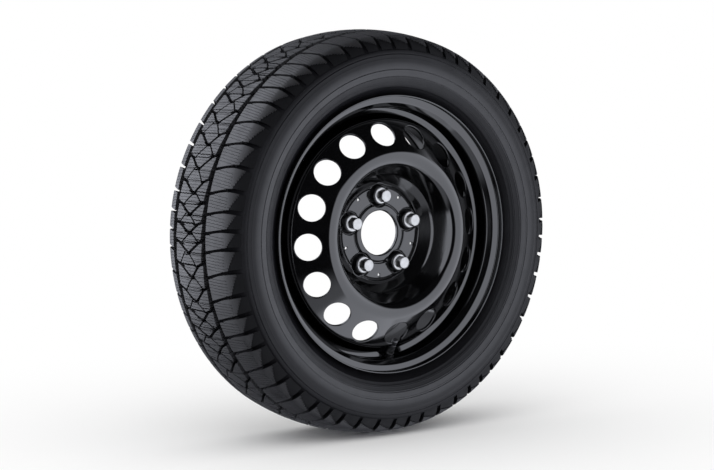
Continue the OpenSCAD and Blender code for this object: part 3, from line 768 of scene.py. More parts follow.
def make_disc():
    """The pressed disc: tables of its two sides, joined through the holes and at both edges."""
    hub_rows = np.concatenate([
        [33.3, 33.8, 34.6, 35.4, 37], [39, 40.6, 41.2, 41.9, 42.6, 43.3, 44.1, 45.0, 45.4, 45.8, 46.2],
        np.arange(47.5, 57, 1.9), [58, 59.6, 61.2, 62.8, 64.2, 65.4, 66.4, 67.0, 67.3, 67.7, 68.0, 68.6],
        [69.3, 69.9, 70.6, 71.3, 72.0, 72.6, 73.4, 74.6, 76.2],
    ]) - BORE_R
    foot = np.arange(along_of(77.57), along_of(84), 0.9)
    wall = np.arange(along_of(84.6), along_of(101.5), 2.6)
    nose = np.arange(along_of(102.2), VENT_AT - 26.5, 1.5)
    vent_rows = np.linspace(VENT_AT - 25, VENT_AT + 22.4, 15)
    bend = np.arange(VENT_AT + 23.2, DISC_ALONG[-1] - 22, 0.9)
    skirt = np.linspace(bend[-1] + 2.5, DISC_ALONG[-1] - 0.4, 8)
    front_rows = np.concatenate([hub_rows, foot, wall, nose, vent_rows, bend, skirt])
    back_rows = np.concatenate([
        hub_rows[[0, 4, 16, 20]], along_of(np.array([57.0, 59, 61, 63, 65, 66.8, 70, 74.6])),
        foot[::2], wall[::2], nose[::2], vent_rows, bend[::2], skirt[::2], skirt[-1:],
    ])

    def holes_on(rows, bolt_reach, drain_reach, ring_counts):
        def row_at(place):
            return int(np.argmin(np.abs(rows - place)))

        vent_span = (row_at(VENT_AT - 25), row_at(VENT_AT + 22.4))
        bolt_span = (row_at(along_of(bolt_reach[0])), row_at(along_of(bolt_reach[1])))
        drain_span = (row_at(along_of(drain_reach[0])), row_at(along_of(drain_reach[1])))
        found = [
            Hole("vent", VENT_STEP * k + 4, vent_span, 10, ring_counts[0], VENT_R + 0.9)
            for k in range(VENT_COUNT)
        ]
        found += [
            Hole("bolt", BOLT_STEP * k, bolt_span, 16, ring_counts[1], MOAT_R + 0.6)
            for k in range(BOLT_COUNT)
        ]
        found += [
            Hole("drain", BOLT_STEP * k + BOLT_STEP // 2, drain_span, 4, ring_counts[2], DRAIN_R + 0.4)
            for k in range(BOLT_COUNT)
        ]
        return found

    def phases_on(rows):
        shift = ease(rows, along_of(86), along_of(100))
        return BOLT_PHASE + (FLANK_PHASE - BOLT_PHASE) * shift

    skin = Skin()
    holes = holes_on(front_rows, (37, 74.6), (57, 66.4), (10, 14, 5))
    front_ids, front_loops = disc_side(skin, front_rows, disc_front, holes, phases_on(front_rows))
    back_rows = np.unique(np.round(back_rows, 4))
    holes = holes_on(back_rows, (37, 74.6), (57, 66.8), (3, 2, 2))
    back_ids, back_loops = disc_side(skin, back_rows, disc_back, holes, phases_on(back_rows))
    for hole, middle, direction, last in front_loops:
        finish_hole(skin, hole, middle, direction, last)
    for hole, middle, direction, last in back_loops:
        finish_hole_back(skin, hole, middle, direction, last)
    for edge in (0, -1):
        skin.grid(np.array([front_ids[edge], back_ids[edge]]), wrap=True)
    disc = skin.build("disc_skin", enamel, 32)
    cut_notch(disc)
    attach(disc, "wheel")
    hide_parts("disc")


def hole_ring(skin, *place, lift=0.0):
    """One ring of points round a hole, moved outboard by lift in metres."""
    return skin.add(wheel_points(*hole_positions(*place)) + [0, -lift, 0])


def finish_hole(skin, hole, middle, direction, last):
    """The lip and the wall of a hole, from the outer surface down."""
    rings = [last]
    if hole.kind == "vent":
        for t in np.linspace(0, 90, 5)[1:]:
            radius, depth = VENT_R + 0.9 * (1 - sin(t)), 0.9 * (1 - cos(t))
            rings.append(hole_ring(skin, "vent", middle, radius, direction, depth))
        for depth in (1.8, 2.9):
            rings.append(hole_ring(skin, "vent", middle, VENT_R, direction, depth))
    elif hole.kind == "drain":
        for radius, depth in ((DRAIN_R + 0.1, 0.1), (DRAIN_R, 0.4), (DRAIN_R, 2)):
            rings.append(hole_ring(skin, "drain", middle, radius, direction, depth))
    else:
        # closest where the moat and the boss bend
        for radius in (17.3, 16.9, 16.5, 16.0, 15.5, 15.1, 14.6, 13.9, 13.3, 12.9, 12.5, 12.1, 11.6, 11.0,
                       10.7, 10.3, 9.2, 8.0, 7.2, BOLT_HOLE_R):
            rings.append(hole_ring(skin, "bolt", middle, radius, direction))
        rings.append(hole_ring(skin, "bolt", middle, BOLT_HOLE_R, direction, 0, False, lift=0.0015))
    skin.grid(np.array(rings), wrap=True)


def finish_hole_back(skin, hole, middle, direction, last):
    """The lip and the wall of a hole, from the inner surface up."""
    rings = [last]
    if hole.kind == "vent":
        for radius, depth in ((VENT_R + 0.2, DISC_SHEET), (VENT_R, DISC_SHEET - 0.3), (VENT_R, 2.9)):
            rings.append(hole_ring(skin, "vent", middle, radius, direction, depth))
    elif hole.kind == "drain":
        for lift in (0.0, 0.0018):
            rings.append(hole_ring(skin, "drain", middle, DRAIN_R, direction, 0, False, lift=lift))
    else:
        for radius, depth in ((14.2, 0), (14.0, -0.9), (11.4, -0.9), (11.2, 0), (BOLT_HOLE_R + 0.5, 0),
                              (BOLT_HOLE_R, -0.6), (BOLT_HOLE_R, -1.5)):
            rings.append(hole_ring(skin, "bolt", middle, radius, direction, depth, False))
    skin.grid(np.array(rings), wrap=True)


def valve_matrix():
    """Place of the valve: its axis along Z, starting at the rim's outer surface."""
    _, foot = rim_line()
    foot_r = foot[0] - RIM_SHEET * cos(VALVE_TILT)
    foot_h = foot[1] + RIM_SHEET * sin(VALVE_TILT)
    inward = Vector(wheel_points(np.array(-cos(VALVE_TILT)), VALVE_ANGLE, np.array(sin(VALVE_TILT)))) / MM
    side_way = Vector(wheel_points(np.array(1.0), VALVE_ANGLE + 90, np.array(0.0))) / MM
    third = inward.cross(side_way)
    place = Vector(wheel_points(np.array(foot_r), VALVE_ANGLE, np.array(foot_h)))
    turn = Matrix((side_way, third, inward)).transposed().to_4x4()
    return Matrix.Translation(place) @ turn


VALVE = valve_matrix()


def cut_notch(disc):
    """Cuts the clear notch for the valve through the disc's edge."""
    skin = Skin()
    angles = np.radians(np.arange(48) * 7.5)
    ends = (6.0, 36.0)
    rings = [skin.add(round_z(NOTCH_R, angles, height)) for height in ends]
    skin.grid(np.array(rings), wrap=True)
    for ring, height in zip(rings, ends):
        skin.cap(ring, (0, 0, height * MM))
    cutter = skin.build("notch_cutter", enamel, 30, VALVE)
    cut = disc.modifiers.new("notch", "BOOLEAN")
    cut.operation, cut.solver, cut.object = "DIFFERENCE", "EXACT", cutter
    bpy.context.view_layer.objects.active = disc
    with bpy.context.temp_override(object=disc, active_object=disc):
        bpy.ops.object.modifier_apply(modifier=cut.name)
    bpy.data.objects.remove(cutter)


make_disc()


# Weld beads, bolts and valve

def make_welds():
    """Rippled beads between the skirt's end and the rim."""
    skin = Skin()
    skirt_r = WELL_R - RIM_SHEET
    section = np.array([
        [0.0, 0.2], [-1.5, 0.25], [-2.9, -0.3], [-3.2, -1.2],
        [-2.3, -2.4], [-0.9, -3.3], [0.1, -3.6], [0.3, -1.5],
    ])
    for k in range(WELD_COUNT):
        start = 360 / WELD_COUNT * k + 10
        angles = np.linspace(start, start + WELD_ARC, 120)
        ripple = 1 + 0.07 * np.sin((angles - start) * 9) + 0.05 * np.sin(angles * 2.3 + k)
        taper = np.sqrt(np.clip(1 - ((angles - start) / WELD_ARC * 2 - 1) ** 14, 0.05, 1))
        scale = ripple * taper
        radius = skirt_r + section[:, :1] * scale[None, :]
        height = -SKIRT_DEPTH + section[:, 1:] * scale[None, :]
        ids = skin.add(wheel_points(radius, angles[None, :], height))
        skin.grid(np.vstack([ids, ids[:1]]))
        for end in (0, -1):
            skin.cap(ids[:, end], wheel_points(skirt_r - 1.2, angles[end], -SKIRT_DEPTH - 1.0))
    welds = skin.build("weld_skin", enamel, 60)
    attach(welds, "wheel")
    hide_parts("disc_welds")


def lathe(skin, line, count=64, shape=None):
    """Turns (radius, height) round Z and closes both ends. shape may change the radius by angle."""
    angles = np.radians(np.arange(count) * 360 / count)
    radius = np.repeat(line[:, :1], count, axis=1)
    if shape is not None:
        radius = shape(radius, angles[None, :], line[:, 1:])
    ids = skin.add(round_z(radius, angles, line[:, 1:]))
    skin.grid(ids, wrap=True)
    for end in (0, -1):
        skin.cap(ids[end], (0, 0, line[end, 1] * MM))


def bolt_matrix(k):
    """Place of bolt k: its axis along Z, pointing outboard."""
    angle = BOLT_PHASE - 360 / BOLT_COUNT * k
    outward = Vector((0, -1, 0))
    radial = Vector(wheel_points(np.array(1.0), angle, np.array(0.0))) / MM
    third = outward.cross(radial)
    place = Vector(wheel_points(np.array(float(BOLT_CIRCLE_R)), angle, np.array(0.0)))
    return Matrix.Translation(place) @ Matrix((radial, third, outward)).transposed().to_4x4()


def make_bolts():
    """Five wheel bolts: thread, conical seat, collar and a hexagon with a domed end."""
    seat_low = SEAT_TOP - (SEAT_MOUTH_R - BOLT_HOLE_R) / tan(30)
    collar_top = SEAT_TOP + COLLAR_H
    hex_top = collar_top + HEX_H
    bottom = seat_low - BOLT_SHANK_LENGTH
    root_r, corner_r = 5.25, 9.82
    thread = []
    for z in np.arange(bottom + 1.2, seat_low - 7, BOLT_THREAD_PITCH):
        thread += [(root_r, z), (BOLT_SHANK_R, z + 0.55), (BOLT_SHANK_R, z + 0.8), (root_r, z + 1.35)]
    seat = [
        (5.9, seat_low - 6.4), (BOLT_SHANK_R, seat_low - 6.0), (BOLT_SHANK_R, seat_low),
        (BOLT_HOLE_R, seat_low), (SEAT_MOUTH_R - 0.1, SEAT_TOP - 0.3),
    ]
    collar = [
        (COLLAR_R - 0.3, SEAT_TOP + 0.1), (COLLAR_R, SEAT_TOP + 0.45), (COLLAR_R, collar_top - 0.7),
        (COLLAR_R - 0.25, collar_top - 0.25), (COLLAR_R - 0.8, collar_top), (10.3, collar_top + 0.12),
        (9.9, collar_top + 0.5),
    ]
    head = [
        (corner_r, collar_top + 1.2), (corner_r, hex_top - 4.0), (corner_r, hex_top - 2.6),
        (9.5, hex_top - 1.9), (8.9, hex_top - 1.2), (8.2, hex_top - 0.7), (7.2, hex_top - 0.35),
        (6.0, hex_top - 0.15), (4.0, hex_top - 0.04), (1.5, hex_top),
    ]
    line = np.array([(4.4, bottom), (5.1, bottom + 0.9)] + thread + seat + collar + head)

    def hexagon(radius, angle, height):
        sector = (angle + math.pi / 6) % (math.pi / 3) - math.pi / 6
        flat = HEX_AF / 2 / np.cos(sector)
        limit = -np.log(np.exp(-flat * 3) + np.exp(-9.72 * 3)) / 3
        return np.where(height > collar_top + 0.3, np.minimum(radius, limit), radius)

    for k in range(BOLT_COUNT):
        skin = Skin()
        lathe(skin, line, 96, hexagon)
        turn = bolt_matrix(k) @ Matrix.Rotation(math.radians(BOLT_TURNS[k]), 4, "Z")
        bolt = skin.build(f"wheel_bolt_skin_{k + 1}", zinc, 28, turn)
        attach(bolt, "wheel")
        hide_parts(f"wheel_bolt_{k + 1}")


def helix_ridge(skin, radius, depth, pitch, low, high, count=40):
    """A thread: a ridge that winds round Z from low to high."""
    turns = (high - low) / pitch
    steps = int(turns * count)
    a = np.linspace(0, turns * 2 * math.pi, steps)
    z = low + a / (2 * math.pi) * pitch
    fade = np.clip(np.minimum(a, a[-1] - a) / 1.5, 0.02, 1)
    rows = []
    for dr, dz in ((-depth, -0.46), (0, -0.1), (0, 0.1), (-depth, 0.46)):
        r = radius - depth + (depth + dr) * fade
        rows.append(round_z(r, a, z + dz * pitch))
    ids = skin.add(np.array(rows))
    skin.grid(ids)


def make_valve():
    """Skins of the snap-in valve's rubber body, its threaded stem and its knurled cap."""
    top = RUBBER_LENGTH + STEM_LENGTH
    plug_h = -RIM_SHEET
    body = Skin()
    line = rounded([
        (3.2, plug_h - 5.3, 0), (5.8, plug_h - 5.3, 0.8), (7.4, plug_h - 3.9, 0.8), (7.6, plug_h - 0.02, 0.5),
        (VALVE_HOLE_R, plug_h - 0.02, 0), (VALVE_HOLE_R, -0.02, 0), (6.85, 0.02, 0.4), (6.8, 1.5, 0.6),
        (6.1, 2.4, 0.8), (5.8, 6.2, 2), (5.25, 8.0, 0.4), (5.25, 8.5, 0.3), (5.05, 8.8, 0.3),
        (5.0, 12.0, 0.5), (4.85, RUBBER_LENGTH - 0.5, 0.3), (4.4, RUBBER_LENGTH, 0.2),
        (3.95, RUBBER_LENGTH, 0),
    ], 15)
    lathe(body, line, 64)
    rubber = body.build("valve_body_skin", valve_rubber, 40, VALVE)
    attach(rubber, "wheel")
    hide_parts("valve_body")

    stem = Skin()
    a = np.radians(np.arange(48) * 7.5)
    rings = [stem.add(round_z(r, a, z)) for r, z in stem_outline(top)]
    stem.grid(np.array(rings + rings[:1]), wrap=True)
    helix_ridge(stem, STEM_R, 0.4, CAP_THREAD_PITCH, RUBBER_LENGTH + 0.5, top - 0.5)
    metal = stem.build("valve_stem_skin", brass, 35, VALVE)
    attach(metal, "wheel")
    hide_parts("valve_stem")

    cap = Skin()
    inner, foot, roof = STEM_R + 0.06, RUBBER_LENGTH + 0.3, top + 1.0
    outside = rounded([
        (inner, foot, 0), (CAP_R - 0.3, foot, 0.25), (CAP_R, foot + 0.6, 0.2), (CAP_R, foot + 1.2, 0),
        (CAP_R, top - 0.4, 0), (CAP_R, top + 0.7, 0.6), (CAP_R - 0.55, top + 2.0, 0.8),
        (CAP_R - 1.7, top + 2.65, 1.2), (0.6, top + 2.85, 0),
    ], 12)
    outside = np.vstack([
        outside[outside[:, 1] < foot + 1.1],
        np.stack([np.full(12, CAP_R), np.linspace(foot + 1.2, top - 0.4, 12)], axis=1),
        outside[outside[:, 1] > top - 0.3],
    ])

    def knurl(radius, angle, height):
        ends = ease(height, foot + 1.1, foot + 1.7) * (1 - ease(height, top - 1.2, top - 0.4))
        ribs = 0.5 - 0.5 * np.cos(angle * 18)
        return radius - 0.3 * np.clip(ribs * 1.5 - 0.4, 0, 1) * ends * (radius > CAP_R - 0.1)

    count = 144
    a = np.radians(np.arange(count) * 360 / count)
    shaped = knurl(np.repeat(outside[:, :1], count, axis=1), a[None, :], outside[:, 1:])
    outer = cap.add(round_z(shaped, a, outside[:, 1:]))
    cap.grid(outer, wrap=True)
    cap.cap(outer[-1], (0, 0, (top + 2.86) * MM))
    inside = np.array([(inner, foot), (inner, roof), (0.6, roof)])
    hollow = cap.add(round_z(inside[:, :1], a, inside[:, 1:]))
    cap.grid(hollow, wrap=True)
    cap.cap(hollow[-1], (0, 0, roof * MM))
    cap.grid(np.array([outer[0], hollow[0]]), wrap=True)
    plastic = cap.build("valve_cap_skin", cap_plastic, 40, VALVE)
    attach(plastic, "cap_body")
    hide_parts("valve_cap")


def stem_outline(top):
    """Closed outline of the stem, from its foot up the outside and down the bore."""
    cup = top - 14.4
    seat = top - 7.6
    core = 2.6
    return [
        (1.5, -RIM_SHEET - 5.9), (3.1, -RIM_SHEET - 5.9), (3.1, 9), (STEM_R - 0.4, 11),
        (STEM_R - 0.4, top - 0.6), (STEM_R - 0.8, top - 0.02), (core + 0.15, top - 0.02), (core, top - 0.3),
        (core, seat + 1.2), (1.95, seat), (1.95, cup - 2.6), (1.5, cup - 2.6),
    ]


make_welds()
make_bolts()
make_valve()
for name, material in (
    ("core_plug", brass), ("core_barrel", brass), ("core_pin", brass), ("core_gasket", core_seal),
    ("core_cup", valve_rubber), ("core_spring", spring_steel), ("cap_seal", valve_rubber),
):
    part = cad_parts[name]
    part.data.materials.clear()
    part.data.materials.append(material)


# Tyre. Places on it are: angle, distance s over the crown outboard of its middle, and depth.

def crown(s):
    return TYRE_R - CROWN_DROP * (s / TREAD_HALF) ** 2


def crown_line():
    """Outer outline over tread and shoulders, from the inboard to the outboard block foot."""
    edge = crown(TREAD_HALF)
    shoulder = [
        (edge, TREAD_HALF), (edge - 3.3, TREAD_HALF + 6.2), (edge - 7.8, TREAD_HALF + 11.2),
        (edge - 13.2, TREAD_HALF + 15.2), (edge - 18.8, TREAD_HALF + 18.4), (edge - 21.2, TREAD_HALF + 19.4),
    ]
    middle = [(crown(s), s) for s in np.linspace(-62, 62, 13)]
    other = [(r, -s) for r, s in shoulder[::-1]]
    line = smooth_line(other + middle + shoulder, 0.8)
    line[:, 1] += MID
    return line


CROWN = crown_line()
CROWN_AT = lengths(CROWN) - lengths(CROWN)[-1] / 2
CROWN_OUT = -normals(CROWN)
if CROWN_OUT[len(CROWN_OUT) // 2, 0] < 0:
    CROWN_OUT = -CROWN_OUT
SHOULDER_END = CROWN_AT[-1]


def under_crown(s, depth):
    """Radius and height of places below the tread's outer outline."""
    return [
        np.interp(s, CROWN_AT, CROWN[:, k]) - depth * np.interp(s, CROWN_AT, CROWN_OUT[:, k]) for k in (0, 1)
    ]


def tread_points(turn, s, depth):
    """Frame points for places on the tread. turn is in millimetres round the tyre at its outer radius."""
    radius, height = under_crown(s, depth)
    return wheel_points(radius, np.degrees(turn / TYRE_R), height)


HALF_PITCHES = len(PITCH_ORDER)
PITCHES = 2 * HALF_PITCHES
PITCH_ROUND = [PITCH_LENGTHS[PITCH_ORDER[(n - 2) % HALF_PITCHES]] for n in range(PITCHES + 6)]
PITCH_SUMS = np.concatenate([[0], np.cumsum(PITCH_ROUND)])
PITCH_UNIT = 180 / (PITCH_SUMS[HALF_PITCHES] - PITCH_SUMS[0])


def tread_turn(u):
    """Millimetres round the tyre of a place counted in pitches."""
    def total(v):
        return np.interp(v + 2, np.arange(len(PITCH_SUMS)), PITCH_SUMS)

    angle = PITCH_PHASE + PITCH_UNIT * (total(np.asarray(u, float) - 0.51) - total(0.0))
    return np.radians(angle) * TYRE_R


def make_casing():
    """Carcass with the groove floors, side walls and beads, one turned surface."""
    half = [(60, GROOVE_DEPTH), (72, GROOVE_DEPTH), (81, 7.6), (SHOULDER_END - 6, 3.6), (SHOULDER_END, 0.2)]
    s = np.concatenate([
        np.arange(-SHOULDER_END, -60, 1.4), np.arange(-60, 60, 4.0),
        np.arange(60, SHOULDER_END, 1.4), [SHOULDER_END],
    ])
    depth = np.interp(np.abs(s), [f[0] for f in half], [f[1] for f in half])
    top = np.stack(under_crown(s, depth), axis=1)
    side = side_wall_line()
    other = side * [1, -1] + [0, 2 * MID]
    line = np.vstack([other[::-1], top, side])
    skin = Skin()
    turned(skin, np.vstack([line, inner_liner()]))
    casing = skin.build("tyre_casing", casing_rubber, 40)
    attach(casing, "wheel")
    return casing


# Radii of the casing's fine lines, where its outline keeps its points
FINE_LINES_R = (267.0, 244.3, 233.6, 260.2, 225.5, 219.5)


def side_wall_line():
    """Outboard side wall from the shoulder's foot to the bead, with its fine moulded lines."""
    edge = crown(TREAD_HALF)
    wall = [
        (edge - 21.4, 20.4 + TREAD_HALF), (edge - 23.4, 21.2 + TREAD_HALF), (edge - 29.5, SECTION_HALF - 2.3),
        (edge - 37, SECTION_HALF - 0.6), (edge - 45, SECTION_HALF), (edge - 53, SECTION_HALF - 0.8),
        (edge - 63, SECTION_HALF - 3.6), (edge - 71.5, SECTION_HALF - 8), (edge - 78, SECTION_HALF - 13),
        (edge - 81.8, SECTION_HALF - 17.2), (edge - 84.6, SECTION_HALF - 19.2),
    ]
    line = smooth_line(wall, 0.4)
    out = -normals(line)
    if out[len(out) // 2, 1] < 0:
        out = -out
    r = line[:, 0]
    lift = np.zeros(len(line))
    for place, width, size in (
        (267.4, 0.55, -0.7), (266.0, 0.7, 0.25), (260.2, 0.5, 0.18), (244.7, 0.5, -0.6), (243.3, 0.8, 0.35),
        (234.0, 0.5, -0.5), (232.8, 0.8, 0.3), (226.5, 0.5, 0.25), (224.6, 0.5, 0.25), (219.5, 1.6, 0.8),
    ):
        lift += size * np.exp(-(((r - place) / width) ** 2))
    line = line + out * lift[:, None]
    curl = (BEAD_SEAT_R + FLANGE_HEIGHT - FLANGE_CURL_R, HALF + FLANGE_CURL_R)
    bead = np.vstack([
        arc(curl, FLANGE_CURL_R + 0.05, -35, -90, 8),
        arc((BEAD_SEAT_R + HEEL_R, HALF - HEEL_R), HEEL_R - 0.05, 90, 180, 12),
    ])
    keep = line[line[:, 0] > bead[0][0] + 0.6]
    whole = np.vstack([keep, bead])
    whole[:, 1] += MID
    steps = lengths(whole)
    chosen = [0]
    for i in range(1, len(whole)):
        near = np.min(np.abs(whole[i, 0] - np.array(FINE_LINES_R))) < 2.2
        if steps[i] - steps[chosen[-1]] > (0.35 if near else 1.6):
            chosen.append(i)
    if chosen[-1] != len(whole) - 1:
        chosen.append(len(whole) - 1)
    return whole[chosen]


def inner_liner():
    """Inside of the tyre between its beads, unseen."""
    toe_h = HALF - BEAD_SEAT_WIDTH + 4.5
    toe_r = BEAD_SEAT_R - (HALF - HEEL_R - toe_h) * tan(BEAD_SEAT_TAPER)
    half = [
        (toe_r, toe_h), (toe_r + 4.5, toe_h + 1.2), (toe_r + 12, toe_h + 6.5),
        (toe_r + 22, SECTION_HALF - 17), (toe_r + 33, SECTION_HALF - 10), (toe_r + 46, SECTION_HALF - 6.6),
        (toe_r + 60, SECTION_HALF - 6.4), (toe_r + 72, SECTION_HALF - 9.6), (toe_r + 84, SECTION_HALF - 17),
        (toe_r + 92.5, SECTION_HALF - 28), (toe_r + 97.2, SECTION_HALF - 46),
    ]
    line = np.array(half + [(r, -h) for r, h in half[::-1]])
    line[:, 1] += MID
    return line


def block(skin, turn, s, top, floor):
    """A raised patch of tread: turn and s are tables (rows along the block, columns across it)."""
    turn, s = np.broadcast_arrays(turn, s)
    upper = skin.add(tread_points(turn, s, top))
    skin.grid(upper)
    rim_turn = np.concatenate([turn[0, :-1], turn[:-1, -1], turn[-1, :0:-1], turn[:0:-1, 0]])
    rim_s = np.concatenate([s[0, :-1], s[:-1, -1], s[-1, :0:-1], s[:0:-1, 0]])
    top_ids = np.concatenate([upper[0, :-1], upper[:-1, -1], upper[-1, :0:-1], upper[:0:-1, 0]])
    lower = skin.add(tread_points(rim_turn, rim_s, floor))
    skin.grid(np.array([top_ids, lower]), wrap=True)


SIPE = 0.55  # width of a fine cut
SIPE_STEP = 4.5  # from one fine cut to the next
BLOCK_FOOT = GROOVE_DEPTH + 0.3
STAIR_HIGH, STAIR_RUN, STAIR_STEPS = 88.5, 13.5, 7  # the stepped edge over a shoulder block


def sipe_wave(s):
    return 0.42 * np.sin(s * 2 * math.pi / 8.5)


def cross_groove(k, s, places, widths):
    """Left and right edge, in millimetres round the tyre, of cross groove k at distances s."""
    u = np.interp(s, [p[1] for p in places], [p[0] for p in places])
    centre = tread_turn(k + u)
    slope = np.gradient(centre, s)
    half = 0.5 * np.interp(s, [w[0] for w in widths], [w[1] for w in widths]) * np.sqrt(1 + slope**2)
    return centre - half, centre + half


OUTER_CROSS = [(0.512, 33.0), (0.364, 54), (0.29, 68.5), (0.262, 78.3), (0.262, 100)]
OUTER_WIDTHS = [(33, 5.2), (52, 4.0), (66, 4.6), (78, 6.6), (97, 7.4)]
INNER_CROSS = [(0.38, -100), (0.40, -84), (0.44, -69.5), (0.55, -57), (0.63, -47)]
INNER_WIDTHS = [(-97, 7.4), (-78, 6.6), (-66, 4.6), (-50, 4.4)]


def make_shoulder_row(name, side, places, widths, inner, sipe_end):
    """The blocks of one shoulder: fine lamellae over the tread, solid over the shoulder."""
    skin, base = Skin(), Skin()
    rows = side * np.linspace(inner, sipe_end, 17)
    solid_rows = side * np.linspace(sipe_end, SHOULDER_END - 0.2, 13)
    middle = np.argmin(np.abs(np.abs(rows) - 52)) if side > 0 else len(rows) // 2
    lean = 0.1 * (rows - rows[middle]) * side + sipe_wave(rows)
    across = np.linspace(0, 1, 8)
    sunk = 1.3 * ease(np.abs(solid_rows), sipe_end - 0.5, sipe_end + 1.5)[:, None]
    for k in range(PITCHES):
        left = cross_groove(k, rows, places, widths)[1]
        right = cross_groove(k + 1, rows, places, widths)[0]
        start, width = left[middle], right[middle] - left[middle]
        count = max(4, int(round(width / SIPE_STEP)))
        step = width / count
        for j in range(count):
            low = np.maximum(start + j * step + lean + SIPE / 2, left) if j > 0 else left
            high = np.minimum(start + (j + 1) * step + lean - SIPE / 2, right) if j < count - 1 else right
            good = np.nonzero(high - low > 0.5)[0]
            if len(good) < 2:
                continue
            run = slice(good[0], good[-1] + 1)
            low, high, s = low[run], np.maximum(high[run], low[run] + 0.3), rows[run]
            block(skin, np.stack([low, high], axis=1), s[:, None], 0.0, BLOCK_FOOT)
        left = cross_groove(k, solid_rows, places, widths)[1]
        right = cross_groove(k + 1, solid_rows, places, widths)[0]
        turn = left[:, None] * (1 - across) + right[:, None] * across
        block(base, turn, solid_rows[:, None], sunk + 0 * turn, BLOCK_FOOT)
        # the raised upper part ends in a flight of small steps
        for j in range(STAIR_STEPS):
            a, b = j / STAIR_STEPS, (j + 1) / STAIR_STEPS
            end = STAIR_HIGH - STAIR_RUN * (j + 0.5) / STAIR_STEPS
            s = side * np.linspace(sipe_end, end, 9)
            low = cross_groove(k, s, places, widths)[1]
            high = cross_groove(k + 1, s, places, widths)[0]
            gap = np.where(np.abs(s) > end - 2.4, 0.5 if j else 0.0, 0)
            tooth = np.stack([low * (1 - a) + high * a + gap, low * (1 - b) + high * b], axis=1)
            block(skin, tooth, s[:, None], 0.0, 1.5)
    # The sunk feet get the darker rubber, which paints shade into the recess below the steps.
    for piece in (skin.build(name, tread_rubber, 30), base.build(name + "_foot", shaded_shoulder_rubber, 30)):
        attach(piece, "wheel")


# Centre lines of the diagonal grooves over two pitches: points (pitches, s) and width
DIAGONALS = [
    ([(-0.02, -49), (0.10, -35.6), (0.45, -18), (0.57, -10.2)], 4.4),
    ([(0.57, -10.2), (0.80, -1.4), (1.12, 8.5)], 2.7),
    ([(0.97, -49), (1.09, -35), (1.53, -10.2), (1.575, -6.3)], 4.4),
    ([(1.50, -2.5), (1.94, 14), (2.01, 18.6)], 2.7),
    ([(0.93, 27), (1.065, 14), (1.53, -4.6)], 4.4),
    ([(1.53, -4.6), (1.88, -20), (2.11, -29)], 2.7),
    ([(-0.05, 27), (0.01, 18.6), (0.55, -6.3), (0.60, -9)], 4.2),
    ([(0.57, -20.5), (1.05, -35.8)], 2.7),
]
CENTRE_LOW, CENTRE_HIGH = -43.8, 25.6


def centre_cuts():
    """Every diagonal as straight pieces: start, end (turn, s) and half width, with a number each."""
    cuts = []
    for k in range(-4, PITCHES + 4, 2):
        for number, (points, width) in enumerate(DIAGONALS):
            for (u0, s0), (u1, s1) in zip(points, points[1:]):
                start, end = float(tread_turn_any(k + u0)), float(tread_turn_any(k + u1))
                cuts.append((start, s0, end, s1, width / 2, (k, number)))
    return cuts


def tread_turn_any(u):
    """tread_turn for places before the first or after the last pitch too."""
    laps = math.floor((u + 1) / PITCHES)
    return tread_turn(u - laps * PITCHES) + laps * 2 * math.pi * TYRE_R


TURN_TABLE = np.arange(-6, PITCHES + 6.01, 0.25)
TURN_PLACES = np.array([float(tread_turn_any(u)) for u in TURN_TABLE])


def band_edges(turn):
    """Where the centre band ends at one place: its outline is cut in teeth, one for each pitch."""
    u = np.interp(turn, TURN_PLACES, TURN_TABLE)
    return CENTRE_LOW - 3.6 * ((u - 0.04) % 1), CENTRE_HIGH - 4.6 * ((u - 0.94) % 1)


def intervals(turn, cuts):
    """Uncut stretches of s at one place round the tyre, each with the cuts that bound it."""
    band_low, band_high = band_edges(turn)
    closed = []
    for t0, s0, t1, s1, half, key in cuts:
        slope = (s1 - s0) / (t1 - t0)
        reach = half * math.sqrt(1 + slope * slope)
        ends = abs(half * slope) / math.sqrt(1 + slope * slope)
        if t0 - ends <= turn <= t1 + ends:
            s = s0 + (turn - t0) * slope
            closed.append((s - reach, s + reach, key))
    closed.sort()
    found, low, low_key = [], band_low, "low"
    for start, end, key in closed:
        if start > low + 0.8:
            found.append((low, min(start, band_high), low_key, key))
        if end > low:
            low, low_key = end, key
        if low >= band_high:
            break
    if low < band_high - 0.8:
        found.append((low, band_high, low_key, "high"))
    return [f for f in found if f[1] - f[0] > 0.8]


def make_centre():
    """The diamond blocks between the two grooves that run round the tyre."""
    cuts = centre_cuts()
    around = 2 * math.pi * TYRE_R
    count = int(round(around / SIPE_STEP / 1.04))
    step = around / count
    skin = Skin()
    columns = 5
    for n in range(count):
        low, high = n * step + SIPE / 2, (n + 1) * step - SIPE / 2
        # places run from the first pitch's start, so that no cut is missed at the seam
        start = float(tread_turn(0.0))
        turns = start + np.linspace(low, high, columns)
        near = [c for c in cuts if c[2] > turns[0] - 12 and c[0] < turns[-1] + 12]
        open_runs = {}
        for i, turn in enumerate(turns):
            for s_low, s_high, key_low, key_high in intervals(turn, near):
                open_runs.setdefault((key_low, key_high), []).append((i, turn, s_low, s_high))
        for run in open_runs.values():
            if len(run) < 2:
                continue
            longest = max(r[3] - r[2] for r in run)
            rows = max(2, int(longest / 2.6) + 2)
            s = np.array([np.linspace(r[2], r[3], rows) for r in run]).T
            turn = np.array([np.full(rows, r[1]) for r in run]).T
            fade = ease(s - s[:1], 0, 2.5) * ease(s[-1:] - s, 0, 2.5)
            block(skin, turn + sipe_wave(s) * fade, s, 0.0, BLOCK_FOOT)
    centre = skin.build("tread_centre", tread_rubber, 30)
    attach(centre, "wheel")


casing = make_casing()
make_shoulder_row("tread_outboard", 1, OUTER_CROSS, OUTER_WIDTHS, 33.4, 71.5)
make_shoulder_row("tread_inboard", -1, INNER_CROSS, INNER_WIDTHS, 57.2, 71.5)
make_centre()
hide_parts("tyre")


# Camera, studio and floor

